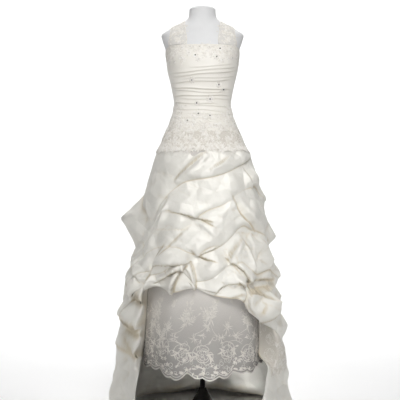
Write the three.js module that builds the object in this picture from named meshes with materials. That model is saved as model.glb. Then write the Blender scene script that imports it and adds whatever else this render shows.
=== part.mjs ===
// A wedding dress on a limbless dress form with a pole and a round foot.
// Millimetres, +Z up, origin on the floor under the pole. The dress faces -Y.
// Angles are degrees round the body from the front, positive towards +X.
import * as THREE from "three";

// Cloth thicknesses and the clearances between pieces
const SEAM_GAP = 0.3; // between two pieces sewn edge to edge
const LAID_GAP = 0.8; // between two layers that lie on each other
const STRAP_GAP = 2.1; // between the straps and the rounded shoulders
const BAND_GAP = 1.0; // between the lace band and the seam it covers
const LINING_GAP = 1.1; // between the underskirt and the top of its lining
const SATIN = 2.0;
const TAFFETA = 1.6;
const LACE = 1.5;
const NET = 1.2;
const LINING = 1.2;

// Heights on the dress
const HIP_SEAM = 1080; // lower edge of the bodice
const OVERSKIRT_TOP = 1078.6; // leaves the seam's gap where its upper edge slants out
const BUST = 1392;
const UNDERSKIRT_TOP = 1060;
const UNDERSKIRT_HEM = 208;
const LINING_TOP = 760;
const LINING_HEM = 236;
const FLOOR_CLEARANCE = 3; // lowest point of the train

// Seams, in degrees
const SIDE_SEAM = 88; // bodice front to bodice back
const FRONT_SEAM = 62; // overskirt front to overskirt side
const BACK_SEAM = 122; // overskirt side to overskirt back
const CENTRE_BACK = 180;

// Radius at which each kind of seam has its gap, small where its cloth turns in sharply
const BODICE_SEAM_RADIUS = 130;
const BAND_SEAM_RADIUS = 75;
const OVERSKIRT_SEAM_RADIUS = 60;
const UNDERSKIRT_SEAM_RADIUS = 230;

// Dress form and stand
const FORM_BOTTOM = 945;
const SHOULDER = 1513; // where the form is widest, above the arms
const NECK_TOP = 1612;
const NECK_CAP_HEIGHT = 14;
const NECK_CAP_RADIUS = 50;
const POLE_RADIUS = 10;
const FOOT_HEIGHT = 120;
const FOOT_RADIUS = 190;
const FOOT_EDGE = 10;
const FOOT_FLARE = [
  { radius: 125.4, z: 18 },
  { radius: 56, z: 52 },
  { radius: 30, z: 88 },
];

// Half width, front depth and back depth of the form at each height
const FORM = [
  { z: FORM_BOTTOM, half: 158, front: 104, back: 122 },
  { z: 1028, half: 165, front: 110, back: 132 },
  { z: HIP_SEAM, half: 157, front: 105, back: 124 },
  { z: 1150, half: 131, front: 93, back: 103 },
  { z: 1228, half: 109, front: 84, back: 84 },
  { z: 1300, half: 119, front: 96, back: 92 },
  { z: 1375, half: 136, front: 118, back: 102 },
  { z: 1405, half: 139, front: 119, back: 105 },
  { z: 1450, half: 145, front: 104, back: 107 },
  { z: 1490, half: 158, front: 84, back: 102 },
  { z: SHOULDER, half: 160, front: 73, back: 93 },
  { z: 1538, half: 118, front: 63, back: 78 },
  { z: 1556, half: 80, front: 56, back: 64 },
  { z: 1574, half: 59, front: 51, back: 54 },
  { z: 1595, half: 53, front: 48, back: 50 },
  { z: NECK_TOP, half: 52, front: 48, back: 49 },
];
const FORM_ROUNDNESS = 2.25; // exponent of the section's curve, 2 for an ellipse

// The cups: two soft rises on the form and the bodice
const CUP = { angle: 35, rise: 7, wide: 18, high: 48 };

// Room between the form and the inside of the bodice
const BODICE_EASE = [
  { z: HIP_SEAM, ease: 3.0 },
  { z: 1150, ease: 2.2 },
  { z: 1228, ease: 1.8 },
  { z: 1300, ease: 1.6 },
  { z: 1400, ease: 1.6 },
  { z: 1460, ease: 1.1 },
];

// Top edge of the bodice from the neckline round to the back
const BODICE_TOP = [
  { angle: 0, z: 1459 },
  { angle: 35, z: 1459 },
  { angle: 58, z: 1457 },
  { angle: 74, z: 1448 },
  { angle: SIDE_SEAM, z: 1430 },
  { angle: 125, z: 1406 },
  { angle: CENTRE_BACK, z: 1400 },
];

// Ruched pleats across the bodice front: height at the centre, climb from left to right, relief
const RUCHES = [
  { z: 1374, climb: 26, rise: 3.5, wide: 9 },
  { z: 1351, climb: 14, rise: 5.0, wide: 9 },
  { z: 1327, climb: 4, rise: 3.5, wide: 8 },
  { z: 1303, climb: 18, rise: 5.0, wide: 10 },
  { z: 1280, climb: -22, rise: 5.5, wide: 10 },
  { z: 1255, climb: -8, rise: 4.0, wide: 9 },
  { z: 1232, climb: 8, rise: 3.5, wide: 8 },
  { z: 1208, climb: -6, rise: 4.0, wide: 9 },
  { z: 1184, climb: 10, rise: 3.5, wide: 9 },
];
const RUCHE_SAG = 7; // how far a pleat hangs below its ends
const RUCHE_REACH = 84; // angle where the pleats run out into the side seams
const RUCHE_FADE = 20; // degrees over which they run out

// Inner and outer edge of a shoulder strap, from its front end to its back end
const STRAP = [
  { along: 0, inner: 60, outer: 130 },
  { along: 0.5, inner: 72, outer: 116 },
  { along: 1, inner: 58, outer: 108 },
];
const STRAP_SCALLOP = 2.5;
const STRAP_SCALLOPS = 7;
const STRAP_FRONT = 50; // angles where it is sewn to the bodice
const STRAP_BACK = 130;
const STRAP_ARCH = 0.9; // how soon it bends over the shoulder, less for sooner
const STRAP_SPREAD = 1.4; // rows of its mesh gather over the shoulder

// Lace band over the hip seam
const BAND_TOP = 1122;
const BAND_BOTTOM = 1056;
const BAND_LEAF = 15; // length of the leaf tips along its lower edge
const BAND_LEAVES = 9; // on each half
const BAND_TIP = 0.7; // how rounded the leaf tips are, less for rounder
const BAND_WAVE = 5; // waves of its upper edge
const BAND_RISE = 0.8; // relief of the lace flowers

// Overskirt before it is picked up: half width, front depth and back depth at each height.
// Behind, its last stretch lies on the floor as a short train.
const SKIRT = [
  { z: FLOOR_CLEARANCE, half: 350, front: 276, back: 690 },
  { z: 9, half: 347, front: 273, back: 520 },
  { z: 26, half: 343, front: 269, back: 432 },
  { z: 87, half: 336, front: 262, back: 402 },
  { z: 200, half: 326, front: 250, back: 384 },
  { z: 348, half: 304, front: 232, back: 360 },
  { z: 478, half: 280, front: 214, back: 332 },
  { z: 624, half: 260, front: 196, back: 288 },
  { z: 743, half: 243, front: 178, back: 246 },
  { z: 861, half: 224, front: 160, back: 204 },
  { z: 960, half: 204, front: 142, back: 172 },
  { z: 1040, half: 182, front: 124, back: 146 },
  { z: HIP_SEAM, half: 161, front: 109, back: 128 },
];

// Five rows of pick-ups. At each angle: the heights where the cloth is tucked up, how far the swag
// above each tuck stands out, and how firmly the tuck is held, in per cent. A tack holds fully.
const PICK_UPS = [
  { angle: -160, tuck: [905, 765, 625, 485, 350], swag: [28, 34, 32, 36, 32], held: [100, 25, 100, 25, 100] },
  { angle: -138, tuck: [880, 745, 605, 465, 330], swag: [34, 30, 34, 32, 32], held: [25, 100, 25, 100, 25] },
  { angle: -116, tuck: [770, 650, 535, 412, 286], swag: [14, 32, 26, 34, 22], held: [60, 40, 100, 40, 100] },
  { angle: -95, tuck: [662, 600, 535, 455, 360], swag: [8, 24, 26, 30, 26], held: [60, 30, 40, 40, 40] },
  { angle: -76, tuck: [705, 645, 585, 520, 440], swag: [10, 16, 22, 26, 26], held: [30, 20, 25, 30, 40] },
  { angle: -60, tuck: [752, 694, 642, 575, 505], swag: [10, 14, 18, 26, 26], held: [10, 20, 30, 30, 60] },
  { angle: -48, tuck: [800, 745, 668, 590, 528], swag: [16, 18, 22, 28, 20], held: [35, 20, 25, 40, 75] },
  { angle: -38, tuck: [868, 815, 682, 584, 537], swag: [22, 22, 24, 26, 12], held: [60, 30, 40, 60, 100] },
  { angle: -22, tuck: [922, 816, 686, 612, 516], swag: [25, 26, 27, 32, 26], held: [75, 65, 65, 30, 60] },
  { angle: -8, tuck: [938, 800, 662, 562, 534], swag: [26, 28, 28, 24, 10], held: [75, 100, 100, 80, 100] },
  { angle: 6, tuck: [945, 824, 685, 566, 508], swag: [27, 28, 28, 30, 16], held: [72, 65, 65, 40, 60] },
  { angle: 20, tuck: [958, 846, 703, 614, 494], swag: [26, 27, 26, 26, 27], held: [75, 35, 40, 35, 60] },
  { angle: 31, tuck: [972, 878, 748, 630, 484], swag: [24, 26, 24, 26, 30], held: [80, 20, 75, 50, 70] },
  { angle: 38, tuck: [982, 893, 765, 606, 440], swag: [22, 25, 22, 24, 28], held: [82, 15, 100, 70, 85] },
  { angle: 46, tuck: [994, 905, 752, 584, 406], swag: [19, 24, 26, 22, 24], held: [85, 25, 70, 100, 100] },
  { angle: 60, tuck: [1012, 915, 734, 596, 396], swag: [13, 26, 30, 28, 26], held: [95, 60, 40, 50, 70] },
  { angle: 74, tuck: [1022, 895, 712, 570, 412], swag: [8, 27, 31, 31, 33], held: [100, 70, 50, 55, 70] },
  { angle: 92, tuck: [965, 848, 678, 530, 400], swag: [16, 30, 37, 26, 38], held: [40, 75, 75, 75, 75] },
  { angle: 114, tuck: [905, 765, 622, 485, 352], swag: [32, 26, 26, 34, 28], held: [25, 100, 60, 30, 100] },
  { angle: 138, tuck: [890, 750, 610, 470, 335], swag: [26, 34, 34, 26, 34], held: [100, 25, 25, 100, 25] },
  { angle: 160, tuck: [900, 760, 620, 480, 345], swag: [34, 28, 28, 36, 30], held: [25, 100, 100, 25, 100] },
  { angle: 180, tuck: [912, 772, 632, 492, 357], swag: [34, 32, 36, 32, 34], held: [45, 40, 30, 45, 30] },
];
const ROWS_OF_SWAGS = 5;
const POUCH = 0.3; // share of a swag that turns in to the tuck below it
const HOLLOW = 0.5; // share of a swag that rises from the tuck above it
const SWAG_DROOP = 0.1; // how far a swag hangs over its tuck, as a share of how far it stands out
const SWAG_BELLY = 0.45; // share of a swag above which nothing hangs
const SWAG_WEIGHT = 2.5; // how low in a swag it hangs the most
const HELD_FULLY = 100;
const FIRST_SWAG_STARTS = 0.1; // shares of the first swag where it starts to stand out and stands out fully
const FIRST_SWAG_FULL = 0.75;
const SWAG_FULL = 0.6; // share of a later swag where it stands out fully

// Soft bulges of the cloth between the tacks
const POUFS = [
  { angle: -62, z: 556, rise: 12, wide: 15, high: 34 },
  { angle: -62, z: 436, rise: 24, wide: 17, high: 36 },
  { angle: -60, z: 336, rise: 24, wide: 17, high: 36 },
  { angle: -27, z: 655, rise: 14, wide: 12, high: 34 },
  { angle: 16, z: 775, rise: 10, wide: 13, high: 42 },
  { angle: -24, z: 745, rise: 9, wide: 11, high: 38 },
  { angle: 48, z: 820, rise: 10, wide: 8, high: 44 },
  { angle: 62, z: 690, rise: 12, wide: 9, high: 34 },
  { angle: 8, z: 610, rise: 12, wide: 13, high: 34 },
  { angle: 30, z: 660, rise: 10, wide: 6, high: 30 },
  { angle: 56, z: 468, rise: 20, wide: 12, high: 36 },
  { angle: 58, z: 596, rise: 12, wide: 10, high: 28 },
  { angle: 14, z: 900, rise: 8, wide: 16, high: 26 },
  { angle: 64, z: 950, rise: 10, wide: 9, high: 30 },
  { angle: -2, z: 880, rise: 7, wide: 10, high: 26 },
];

// The wing: a pointed fold that stands out on the left side, with flat faces from its tip to its corners
const WING_TIP = { angle: -92, z: 790, rise: 84 };
const WING_CORNERS = [
  { angle: -64, z: 808 },
  { angle: -88, z: 884 },
  { angle: -124, z: 800 },
  { angle: -116, z: 700 },
  { angle: -86, z: 652 },
  { angle: -66, z: 716 },
];
const WING_SHARPNESS = 1.15;

// Crisp folds that run between the tacks on the front
const FOLDS = [
  { fromAngle: 2, fromZ: 1052, toAngle: -24, toZ: 955, rise: 9, wide: 11 },
  { fromAngle: 30, fromZ: 1010, toAngle: 8, toZ: 975, rise: 7, wide: 11 },
  { fromAngle: 33, fromZ: 884, toAngle: 52, toZ: 756, rise: 10, wide: 12 },
  { fromAngle: -8, fromZ: 796, toAngle: 16, toZ: 712, rise: 9, wide: 12 },
  { fromAngle: 14, fromZ: 800, toAngle: 34, toZ: 866, rise: 8, wide: 11 },
  { fromAngle: 24, fromZ: 642, toAngle: 36, toZ: 740, rise: 10, wide: 11 },
  { fromAngle: 37, fromZ: 735, toAngle: 44, toZ: 610, rise: 9, wide: 11 },
  { fromAngle: -30, fromZ: 880, toAngle: -52, toZ: 690, rise: 10, wide: 13 },
  { fromAngle: -16, fromZ: 606, toAngle: -26, toZ: 528, rise: 10, wide: 11 },
];
const PLAIN_BELOW = 980; // height below which the skirt's sections are plain ellipses
const FOLD_SCALE = 3.8; // millimetres of cloth per degree on the front

// Where the free front edges of the overskirt lie below the front swags, and at the floor
const LEFT_EDGE = { free: -42, floor: -44 };
const RIGHT_EDGE = { free: 80, floor: 98 };
const EDGE_OPEN = 0.14; // shares of the fall where an edge has left its seam and where it starts to lean
const EDGE_LEAN = 0.2;

// Flutes of the train, growing towards the floor, and a flare on the left side
const TRAIN_FLUTE = 18;
const TRAIN_FLUTES = 8;
const LEFT_FLARE = { angle: -92, rise: 16, wide: 38 };
const FLARE_FULL = 0.4; // shares of the train's fall where the flare is full and the last swag has run out
const TRAIN_SMOOTH = 0.5;

// Embroidered underskirt: half width, front depth and back depth at each height
const UNDERSKIRT = [
  { z: UNDERSKIRT_HEM - 20, half: 229, front: 250, back: 252 },
  { z: 300, half: 231, front: 236, back: 246 },
  { z: 400, half: 228, front: 214, back: 236 },
  { z: 528, half: 222, front: 190, back: 220 },
  { z: 624, half: 214, front: 172, back: 206 },
  { z: 743, half: 203, front: 152, back: 186 },
  { z: 861, half: 190, front: 134, back: 165 },
  { z: 960, half: 176, front: 120, back: 146 },
  { z: UNDERSKIRT_TOP, half: 160, front: 110, back: 130 },
];
const UNDERSKIRT_FLUTE = 7;
const UNDERSKIRT_FLUTES = 9;
const HEM_LIFT = 22; // how much higher the hem is at the sides
const SCALLOP = 11; // depth of the hem's scallops
const SCALLOPS = 12; // on each half
const LINING_INSET = 9;
const LINING_LEAVES = 150; // below its top edge it lies clear of the net
const NET_SEWN = 12; // below its top edge the net is sewn in, and further below it hangs free
const NET_HANGS = 110;
const FLUTES_TOP = 700; // height where the flutes of the net begin

// Materials

function cloth(colour, roughness) {
  return new THREE.MeshStandardMaterial({ color: colour, roughness, metalness: 0 });
}
const MATERIALS = {
  satin: cloth(0xe9e4d8, 0.45),
  taffeta: cloth(0xebe7dc, 0.38),
  lace: cloth(0xefe9dc, 0.75),
  net: cloth(0xc9c4bb, 0.8),
  lining: cloth(0xb9b2a8, 0.7),
  form: cloth(0xe6e6e6, 0.6),
  stand: new THREE.MeshStandardMaterial({ color: 0x1a1817, roughness: 0.4, metalness: 0.6 }),
};

// Curves and sections

const { clamp, lerp, smoothstep, degToRad } = THREE.MathUtils;

// A smooth curve through one column of a table, held at its ends.
function columnCurve(table, key, column) {
  const at = table.map((row) => row[key]);
  const curve = new THREE.CubicInterpolant(at, table.map((row) => row[column]), 1);
  return (x) => curve.evaluate(clamp(x, at[0], at[at.length - 1]))[0];
}

// A smooth curve round the body, from rows in order of their angle.
function roundCurve(rows, valueOf) {
  const turned = [-360, 0, 360].flatMap((turn) =>
    rows.map((row) => ({ angle: row.angle + turn, value: valueOf(row) })),
  );
  return columnCurve(turned, "angle", "value");
}

// The half width, front depth and back depth of a table at a height, moved out by an offset.
function sectionCurve(table) {
  const half = columnCurve(table, "z", "half");
  const front = columnCurve(table, "z", "front");
  const back = columnCurve(table, "z", "back");
  return (z, offset = 0) => ({
    half: half(z) + offset,
    front: front(z) + offset,
    back: back(z) + offset,
  });
}

// The point of a section at an angle, with a roundness of 2 for an ellipse.
function sectionPoint({ half, front, back }, angle, z, roundness = 2) {
  const sine = Math.sin(degToRad(angle));
  const cosine = Math.cos(degToRad(angle));
  const depth = cosine > 0 ? front : back;
  const power = 2 / roundness;
  const x = half * Math.sign(sine) * Math.abs(sine) ** power;
  const y = -depth * Math.sign(cosine) * Math.abs(cosine) ** power;
  return new THREE.Vector3(x, y, z);
}

// The skirt's sections pass from the form's at the hip seam to plain ellipses below.
function skirtRoundness(z) {
  return lerp(2, FORM_ROUNDNESS, smoothstep(z, PLAIN_BELOW, HIP_SEAM));
}

function bell(distance, wide) {
  return Math.exp(-((distance / wide) ** 2));
}

// The angle brought into the range from -180 to 180.
function turned(angle) {
  return THREE.MathUtils.euclideanModulo(angle + 180, 360) - 180;
}

// Walls and lofts

// A closed mesh from a grid of outer points and a grid of inner points, both [row][column].
function wallGeometry(outer, inner) {
  const rows = outer.length;
  const columns = outer[0].length;
  const position = [...outer, ...inner].flat().flatMap((p) => [p.x, p.y, p.z]);
  const outerAt = (row, column) => row * columns + column;
  const innerAt = (row, column) => (rows + row) * columns + column;
  const index = [];
  const quad = (a, b, c, d) => index.push(a, b, c, a, c, d);
  for (let r = 0; r + 1 < rows; r++) {
    for (let c = 0; c + 1 < columns; c++) {
      quad(outerAt(r, c), outerAt(r + 1, c), outerAt(r + 1, c + 1), outerAt(r, c + 1));
      quad(innerAt(r, c), innerAt(r, c + 1), innerAt(r + 1, c + 1), innerAt(r + 1, c));
    }
    quad(outerAt(r, 0), innerAt(r, 0), innerAt(r + 1, 0), outerAt(r + 1, 0));
    const last = columns - 1;
    quad(outerAt(r, last), outerAt(r + 1, last), innerAt(r + 1, last), innerAt(r, last));
  }
  for (let c = 0; c + 1 < columns; c++) {
    quad(outerAt(0, c), outerAt(0, c + 1), innerAt(0, c + 1), innerAt(0, c));
    const last = rows - 1;
    quad(outerAt(last, c), innerAt(last, c), innerAt(last, c + 1), outerAt(last, c + 1));
  }
  const geometry = new THREE.BufferGeometry();
  geometry.setAttribute("position", new THREE.Float32BufferAttribute(position, 3));
  geometry.setIndex(index);
  geometry.computeVertexNormals();
  return geometry;
}

const STEP = 1e-3; // for slopes

// The outward normal of a surface that runs towards +X on the front, and then down.
function outwardNormal(surface, across, down) {
  const up = Math.max(0, down - STEP);
  const low = Math.min(1, down + STEP);
  const alongAcross = surface(across + STEP, down).sub(surface(across - STEP, down));
  const alongDown = surface(across, low).sub(surface(across, up));
  return alongDown.cross(alongAcross).normalize();
}

function evenSteps(count) {
  return Array.from({ length: count + 1 }, (_, i) => i / count);
}

// Cloth of a given thickness on a surface. Relief, where given, raises its outer side only.
function clothMesh(name, material, { surface, across, down, gap = 0, thickness, relief = () => 0 }) {
  const outer = [];
  const inner = [];
  for (const t of down) {
    const outerRow = [];
    const innerRow = [];
    for (const s of across) {
      const normal = outwardNormal(surface, s, t);
      const lift = gap + thickness + relief(s, t);
      innerRow.push(surface(s, t).addScaledVector(normal, gap));
      outerRow.push(surface(s, t).addScaledVector(normal, lift));
    }
    outer.push(outerRow);
    inner.push(innerRow);
  }
  const mesh = new THREE.Mesh(wallGeometry(outer, inner), material);
  mesh.name = name;
  return mesh;
}

// The half of the seam gap at the smallest radius of a seam, as an angle.
function seamAngle(radius) {
  return THREE.MathUtils.radToDeg(SEAM_GAP / 2 / radius);
}

// Form and bodice

const formSection = sectionCurve(FORM);
const bodiceEase = columnCurve(BODICE_EASE, "z", "ease");
const bodiceTop = columnCurve(BODICE_TOP, "angle", "z");

function cupRise(angle, z) {
  return CUP.rise * bell(Math.abs(angle) - CUP.angle, CUP.wide) * bell(z - BUST, CUP.high);
}

function bodyPoint(angle, z, offset = 0) {
  const out = offset + cupRise(turned(angle), z);
  return sectionPoint(formSection(z, out), angle, z, FORM_ROUNDNESS);
}

function bodicePoint(angle, down) {
  const z = lerp(bodiceTop(Math.abs(turned(angle))), HIP_SEAM, down);
  return bodyPoint(angle, z, bodiceEase(z));
}

function rucheRelief(angle, down) {
  const z = lerp(bodiceTop(Math.abs(angle)), HIP_SEAM, down);
  const reach = 1 - smoothstep(Math.abs(angle), RUCHE_REACH - RUCHE_FADE, RUCHE_REACH);
  const heights = RUCHES.map((ruche) => {
    const line = ruche.z + (ruche.climb * angle) / (2 * RUCHE_REACH);
    const sag = RUCHE_SAG * (1 - (angle / RUCHE_REACH) ** 2);
    return ruche.rise * bell(z - line + sag, ruche.wide);
  });
  return reach * heights.reduce((sum, height) => sum + height, 0);
}

function bodicePanel(name, from, to, columns, rows, relief) {
  const gap = seamAngle(BODICE_SEAM_RADIUS);
  const angleAt = (s) => lerp(from + gap, to - gap, s);
  return clothMesh(name, MATERIALS.satin, {
    surface: (s, t) => bodicePoint(angleAt(s), t),
    across: evenSteps(columns),
    down: evenSteps(rows),
    thickness: SATIN,
    relief: relief && ((s, t) => relief(angleAt(s), t)),
  });
}

// Straps

const HALVINGS = 30;

// The height where the form is as wide as x, on the slope of its shoulder.
function shoulderHeight(x) {
  let low = SHOULDER;
  let high = NECK_TOP;
  for (let i = 0; i < HALVINGS; i++) {
    const middle = (low + high) / 2;
    if (formSection(middle).half > x) low = middle;
    else high = middle;
  }
  return low;
}

const strapInner = columnCurve(STRAP, "along", "inner");
const strapOuter = columnCurve(STRAP, "along", "outer");

// A point of the right strap, from its inner to its outer edge and from the front over the shoulder.
function strapPoint(across, along) {
  const scallop = STRAP_SCALLOP * Math.abs(Math.sin(Math.PI * STRAP_SCALLOPS * along));
  const x = lerp(strapInner(along) - scallop, strapOuter(along) + scallop, across);
  const top = shoulderHeight(x);
  const isFront = along < 0.5;
  const end = bodiceTop(isFront ? STRAP_FRONT : STRAP_BACK) + SEAM_GAP;
  const z = lerp(end, top, Math.sin(Math.PI * along) ** STRAP_ARCH);
  const { half, front, back } = formSection(z);
  const share = Math.max(0, 1 - (x / half) ** FORM_ROUNDNESS) ** (1 / FORM_ROUNDNESS);
  return new THREE.Vector3(x, isFront ? -front * share : back * share, z);
}

function strap(name, side) {
  const mirrored = (s, t) => strapPoint(side > 0 ? s : 1 - s, t).multiply(new THREE.Vector3(side, 1, 1));
  return clothMesh(name, MATERIALS.lace, {
    surface: (s, t) => mirrored(s, 1 - t),
    across: evenSteps(4),
    down: evenSteps(18).map((t) => 0.5 + 0.5 * Math.sign(t - 0.5) * Math.abs(2 * t - 1) ** STRAP_SPREAD),
    gap: STRAP_GAP,
    thickness: LACE,
  });
}

// Overskirt

const skirtSection = sectionCurve(SKIRT);
const pickUpCurves = (column) =>
  Array.from({ length: ROWS_OF_SWAGS }, (_, i) => roundCurve(PICK_UPS, (row) => row[column][i]));
const tuckCurves = pickUpCurves("tuck");
const swagCurves = pickUpCurves("swag");
const heldCurves = pickUpCurves("held");

// The height of a tuck: row 0 is the hip seam, and the row after the last tuck is the hem.
function tuckHeight(row, angle) {
  if (row === 0) return OVERSKIRT_TOP;
  if (row > ROWS_OF_SWAGS) return FLOOR_CLEARANCE;
  return tuckCurves[row - 1](angle);
}

// How far the crisp folds lift the cloth at a place on the front.
function foldRise(angle, z) {
  let rise = 0;
  for (const fold of FOLDS) {
    const across = (fold.toAngle - fold.fromAngle) * FOLD_SCALE;
    const drop = fold.toZ - fold.fromZ;
    const length = Math.hypot(across, drop);
    const fromX = (angle - fold.fromAngle) * FOLD_SCALE;
    const fromZ = z - fold.fromZ;
    const along = (fromX * across + fromZ * drop) / length ** 2;
    const beside = (fromX * drop - fromZ * across) / length;
    if (along > 0 && along < 1) rise += fold.rise * Math.sin(Math.PI * along) * bell(beside, fold.wide);
  }
  return rise;
}

function poufRise(angle, z) {
  const rises = POUFS.map((pouf) => {
    const beside = bell(turned(angle - pouf.angle), pouf.wide);
    return pouf.rise * beside * bell(z - pouf.z, pouf.high);
  });
  return rises.reduce((sum, rise) => sum + rise, 0);
}

function wingRise(angle, z) {
  const fromTip = (at) => ({
    across: (at.angle - WING_TIP.angle) * FOLD_SCALE,
    up: at.z - WING_TIP.z,
  });
  const here = fromTip({ angle, z });
  const corners = WING_CORNERS.map(fromTip);
  const shares = corners.map((corner, i) => {
    const before = corners.at(i - 1);
    const reach = before.across * corner.up - corner.across * before.up;
    return (here.across * (corner.up - before.up) - here.up * (corner.across - before.across)) / reach;
  });
  const inside = Math.max(0, 1 - Math.max(...shares));
  return WING_TIP.rise * inside ** WING_SHARPNESS;
}

// How far the swag above a tuck stands out, and how firmly the tuck is held, from 0 to 1.
function swagAt(row, angle) {
  return row > 0 && row <= ROWS_OF_SWAGS ? Math.max(2, swagCurves[row - 1](angle)) : 0;
}

function heldAt(row, angle) {
  return row > 0 && row <= ROWS_OF_SWAGS ? clamp(heldCurves[row - 1](angle) / HELD_FULLY, 0, 1) : 0;
}

// A point of the overskirt. The whole part of fold counts the tucks passed, and the rest is the share
// of the way down to the next one. A swag rises from the tuck above it, hangs over the one below
// and turns in to it.
function overskirtPoint(angle, fold) {
  const row = Math.min(Math.floor(fold), ROWS_OF_SWAGS);
  const share = fold - row;
  const top = tuckHeight(row, angle);
  const bottom = tuckHeight(row + 1, angle);
  const above = swagAt(row, angle);
  const below = swagAt(row + 1, angle);
  const rise = (1 - clamp(share / HOLLOW, 0, 1)) ** 2 * heldAt(row, angle);
  const place = turned(angle);
  let z = lerp(top, bottom, share);
  let out = 0;
  if (row < ROWS_OF_SWAGS) {
    const starts = row === 0 ? FIRST_SWAG_STARTS : 0;
    const grown = smoothstep(share, starts, row === 0 ? FIRST_SWAG_FULL : SWAG_FULL);
    const swag = lerp(above, below, grown);
    const held = heldAt(row + 1, angle);
    const lip = (1 - clamp((1 - share) / POUCH, 0, 1)) ** 2 * held;
    const hanging = clamp((share - SWAG_BELLY) / (1 - SWAG_BELLY), 0, 1);
    const sag = Math.sin(Math.PI * hanging ** SWAG_WEIGHT);
    z -= SWAG_DROOP * swag * held * sag;
    out = swag * (1 - lip - rise) + foldRise(place, z) + wingRise(place, z);
  } else {
    const wave = TRAIN_FLUTE * Math.cos(degToRad(TRAIN_FLUTES * angle));
    const flare = LEFT_FLARE.rise * bell(place - LEFT_FLARE.angle, LEFT_FLARE.wide);
    const swag = above * (1 - rise) * (1 - smoothstep(share, 0, TRAIN_SMOOTH));
    out = swag + wave * smoothstep(share, 0, 1) + flare * smoothstep(share, 0, FLARE_FULL);
  }
  out += poufRise(place, z);
  return sectionPoint(skirtSection(z, out), angle, z, skirtRoundness(z));
}

// Steps down one swag, closer together where the cloth turns over at its lower lip.
const FIRST_STEPS = [0, 0.08, 0.2, 0.38, 0.58, 0.76, 0.9];
const SWAG_STEPS = [0, 0.2, 0.5, 0.8, 0.92];
const TRAIN_STEPS = [0, 0.14, 0.34, 0.58, 0.8, 0.94, 0.982, 1];

function foldSteps(rows, ending) {
  const swags = Array.from({ length: rows }, (_, row) =>
    (row === 0 ? FIRST_STEPS : SWAG_STEPS).map((step) => row + step),
  );
  return [...swags.flat(), ...ending.map((step) => rows + step)];
}

// The angle of a panel's edge: a seam down to the last tuck, then free where it has a free edge.
function edgeAngle(seam, edge, fold) {
  if (!edge) return seam;
  const opened = lerp(seam, edge.free, smoothstep(fold, ROWS_OF_SWAGS, ROWS_OF_SWAGS + EDGE_OPEN));
  return lerp(opened, edge.floor, smoothstep(fold, ROWS_OF_SWAGS + EDGE_LEAN, ROWS_OF_SWAGS + 1));
}

function overskirtPanel(name, columns, folds, from, to, fromEdge, toEdge) {
  const last = folds[folds.length - 1];
  const gap = seamAngle(OVERSKIRT_SEAM_RADIUS);
  const surface = (s, t) => {
    const fold = t * last;
    const start = edgeAngle(from, fromEdge, fold) + gap;
    const end = edgeAngle(to, toEdge, fold) - gap;
    return overskirtPoint(lerp(start, end, s), fold);
  };
  return clothMesh(name, MATERIALS.taffeta, {
    surface,
    across: evenSteps(columns),
    down: folds.map((fold) => fold / last),
    thickness: TAFFETA,
  });
}

// Lace band

// A point of the bodice above the hip seam, half way down the band, or of the overskirt below it.
function bandPoint(angle, down) {
  const around = BAND_LEAVES * ((angle + 90) / 180) * Math.PI;
  if (down < 0.5) {
    const z = lerp(BAND_TOP + BAND_WAVE * Math.sin(2 * around + 1), HIP_SEAM, 2 * down);
    return bodyPoint(angle, z, bodiceEase(z));
  }
  const bottom = BAND_BOTTOM - BAND_LEAF * Math.abs(Math.sin(around)) ** BAND_TIP;
  const drop = (OVERSKIRT_TOP - bottom) * (2 * down - 1);
  return overskirtPoint(angle, drop / (OVERSKIRT_TOP - tuckHeight(1, angle)));
}

function laceBand(name, from, to) {
  const gap = seamAngle(BAND_SEAM_RADIUS);
  const angleAt = (s) => lerp(from + gap, to - gap, s);
  return clothMesh(name, MATERIALS.lace, {
    surface: (s, t) => bandPoint(angleAt(s), t),
    across: evenSteps(4 * BAND_LEAVES),
    down: [0, 0.5, 0.75, 1],
    gap: SATIN + BAND_GAP,
    thickness: LACE,
    relief: (s, t) => BAND_RISE * Math.abs(Math.sin(2 * BAND_LEAVES * Math.PI * s) * Math.sin(Math.PI * t)),
  });
}

// Underskirt and its lining

const underskirtSection = sectionCurve(UNDERSKIRT);

// The section of the underskirt: sewn inside the overskirt at the top, hanging free below.
function underskirtAt(z, offset) {
  const free = 1 - smoothstep(z, UNDERSKIRT_TOP - NET_HANGS, UNDERSKIRT_TOP - NET_SEWN);
  const sewn = skirtSection(z, offset - NET - LAID_GAP);
  const hung = underskirtSection(z, offset);
  return {
    half: lerp(sewn.half, hung.half, free),
    front: lerp(sewn.front, hung.front, free),
    back: lerp(sewn.back, hung.back, free),
  };
}

function underskirtFlute(angle, z) {
  const grown = 1 - smoothstep(z, UNDERSKIRT_HEM, FLUTES_TOP);
  return UNDERSKIRT_FLUTE * grown * Math.sin(degToRad(UNDERSKIRT_FLUTES * angle));
}

function underskirtPoint(angle, down) {
  const around = SCALLOPS * ((angle + 90) / 180) * Math.PI;
  const lift = HEM_LIFT * Math.sin(degToRad(angle)) ** 2;
  const hem = UNDERSKIRT_HEM + lift + SCALLOP * (0.5 - Math.abs(Math.sin(around)));
  const z = lerp(UNDERSKIRT_TOP, hem, down);
  return sectionPoint(underskirtAt(z, underskirtFlute(angle, z)), angle, z, skirtRoundness(z));
}

function liningPoint(angle, down) {
  const lift = HEM_LIFT * Math.sin(degToRad(angle)) ** 2;
  const z = lerp(LINING_TOP, LINING_HEM + lift, down);
  const inset = lerp(LINING_INSET, LINING_GAP, smoothstep(z, LINING_TOP - LINING_LEAVES, LINING_TOP));
  return sectionPoint(underskirtAt(z, underskirtFlute(angle, z) - LINING - inset), angle, z);
}

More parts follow.
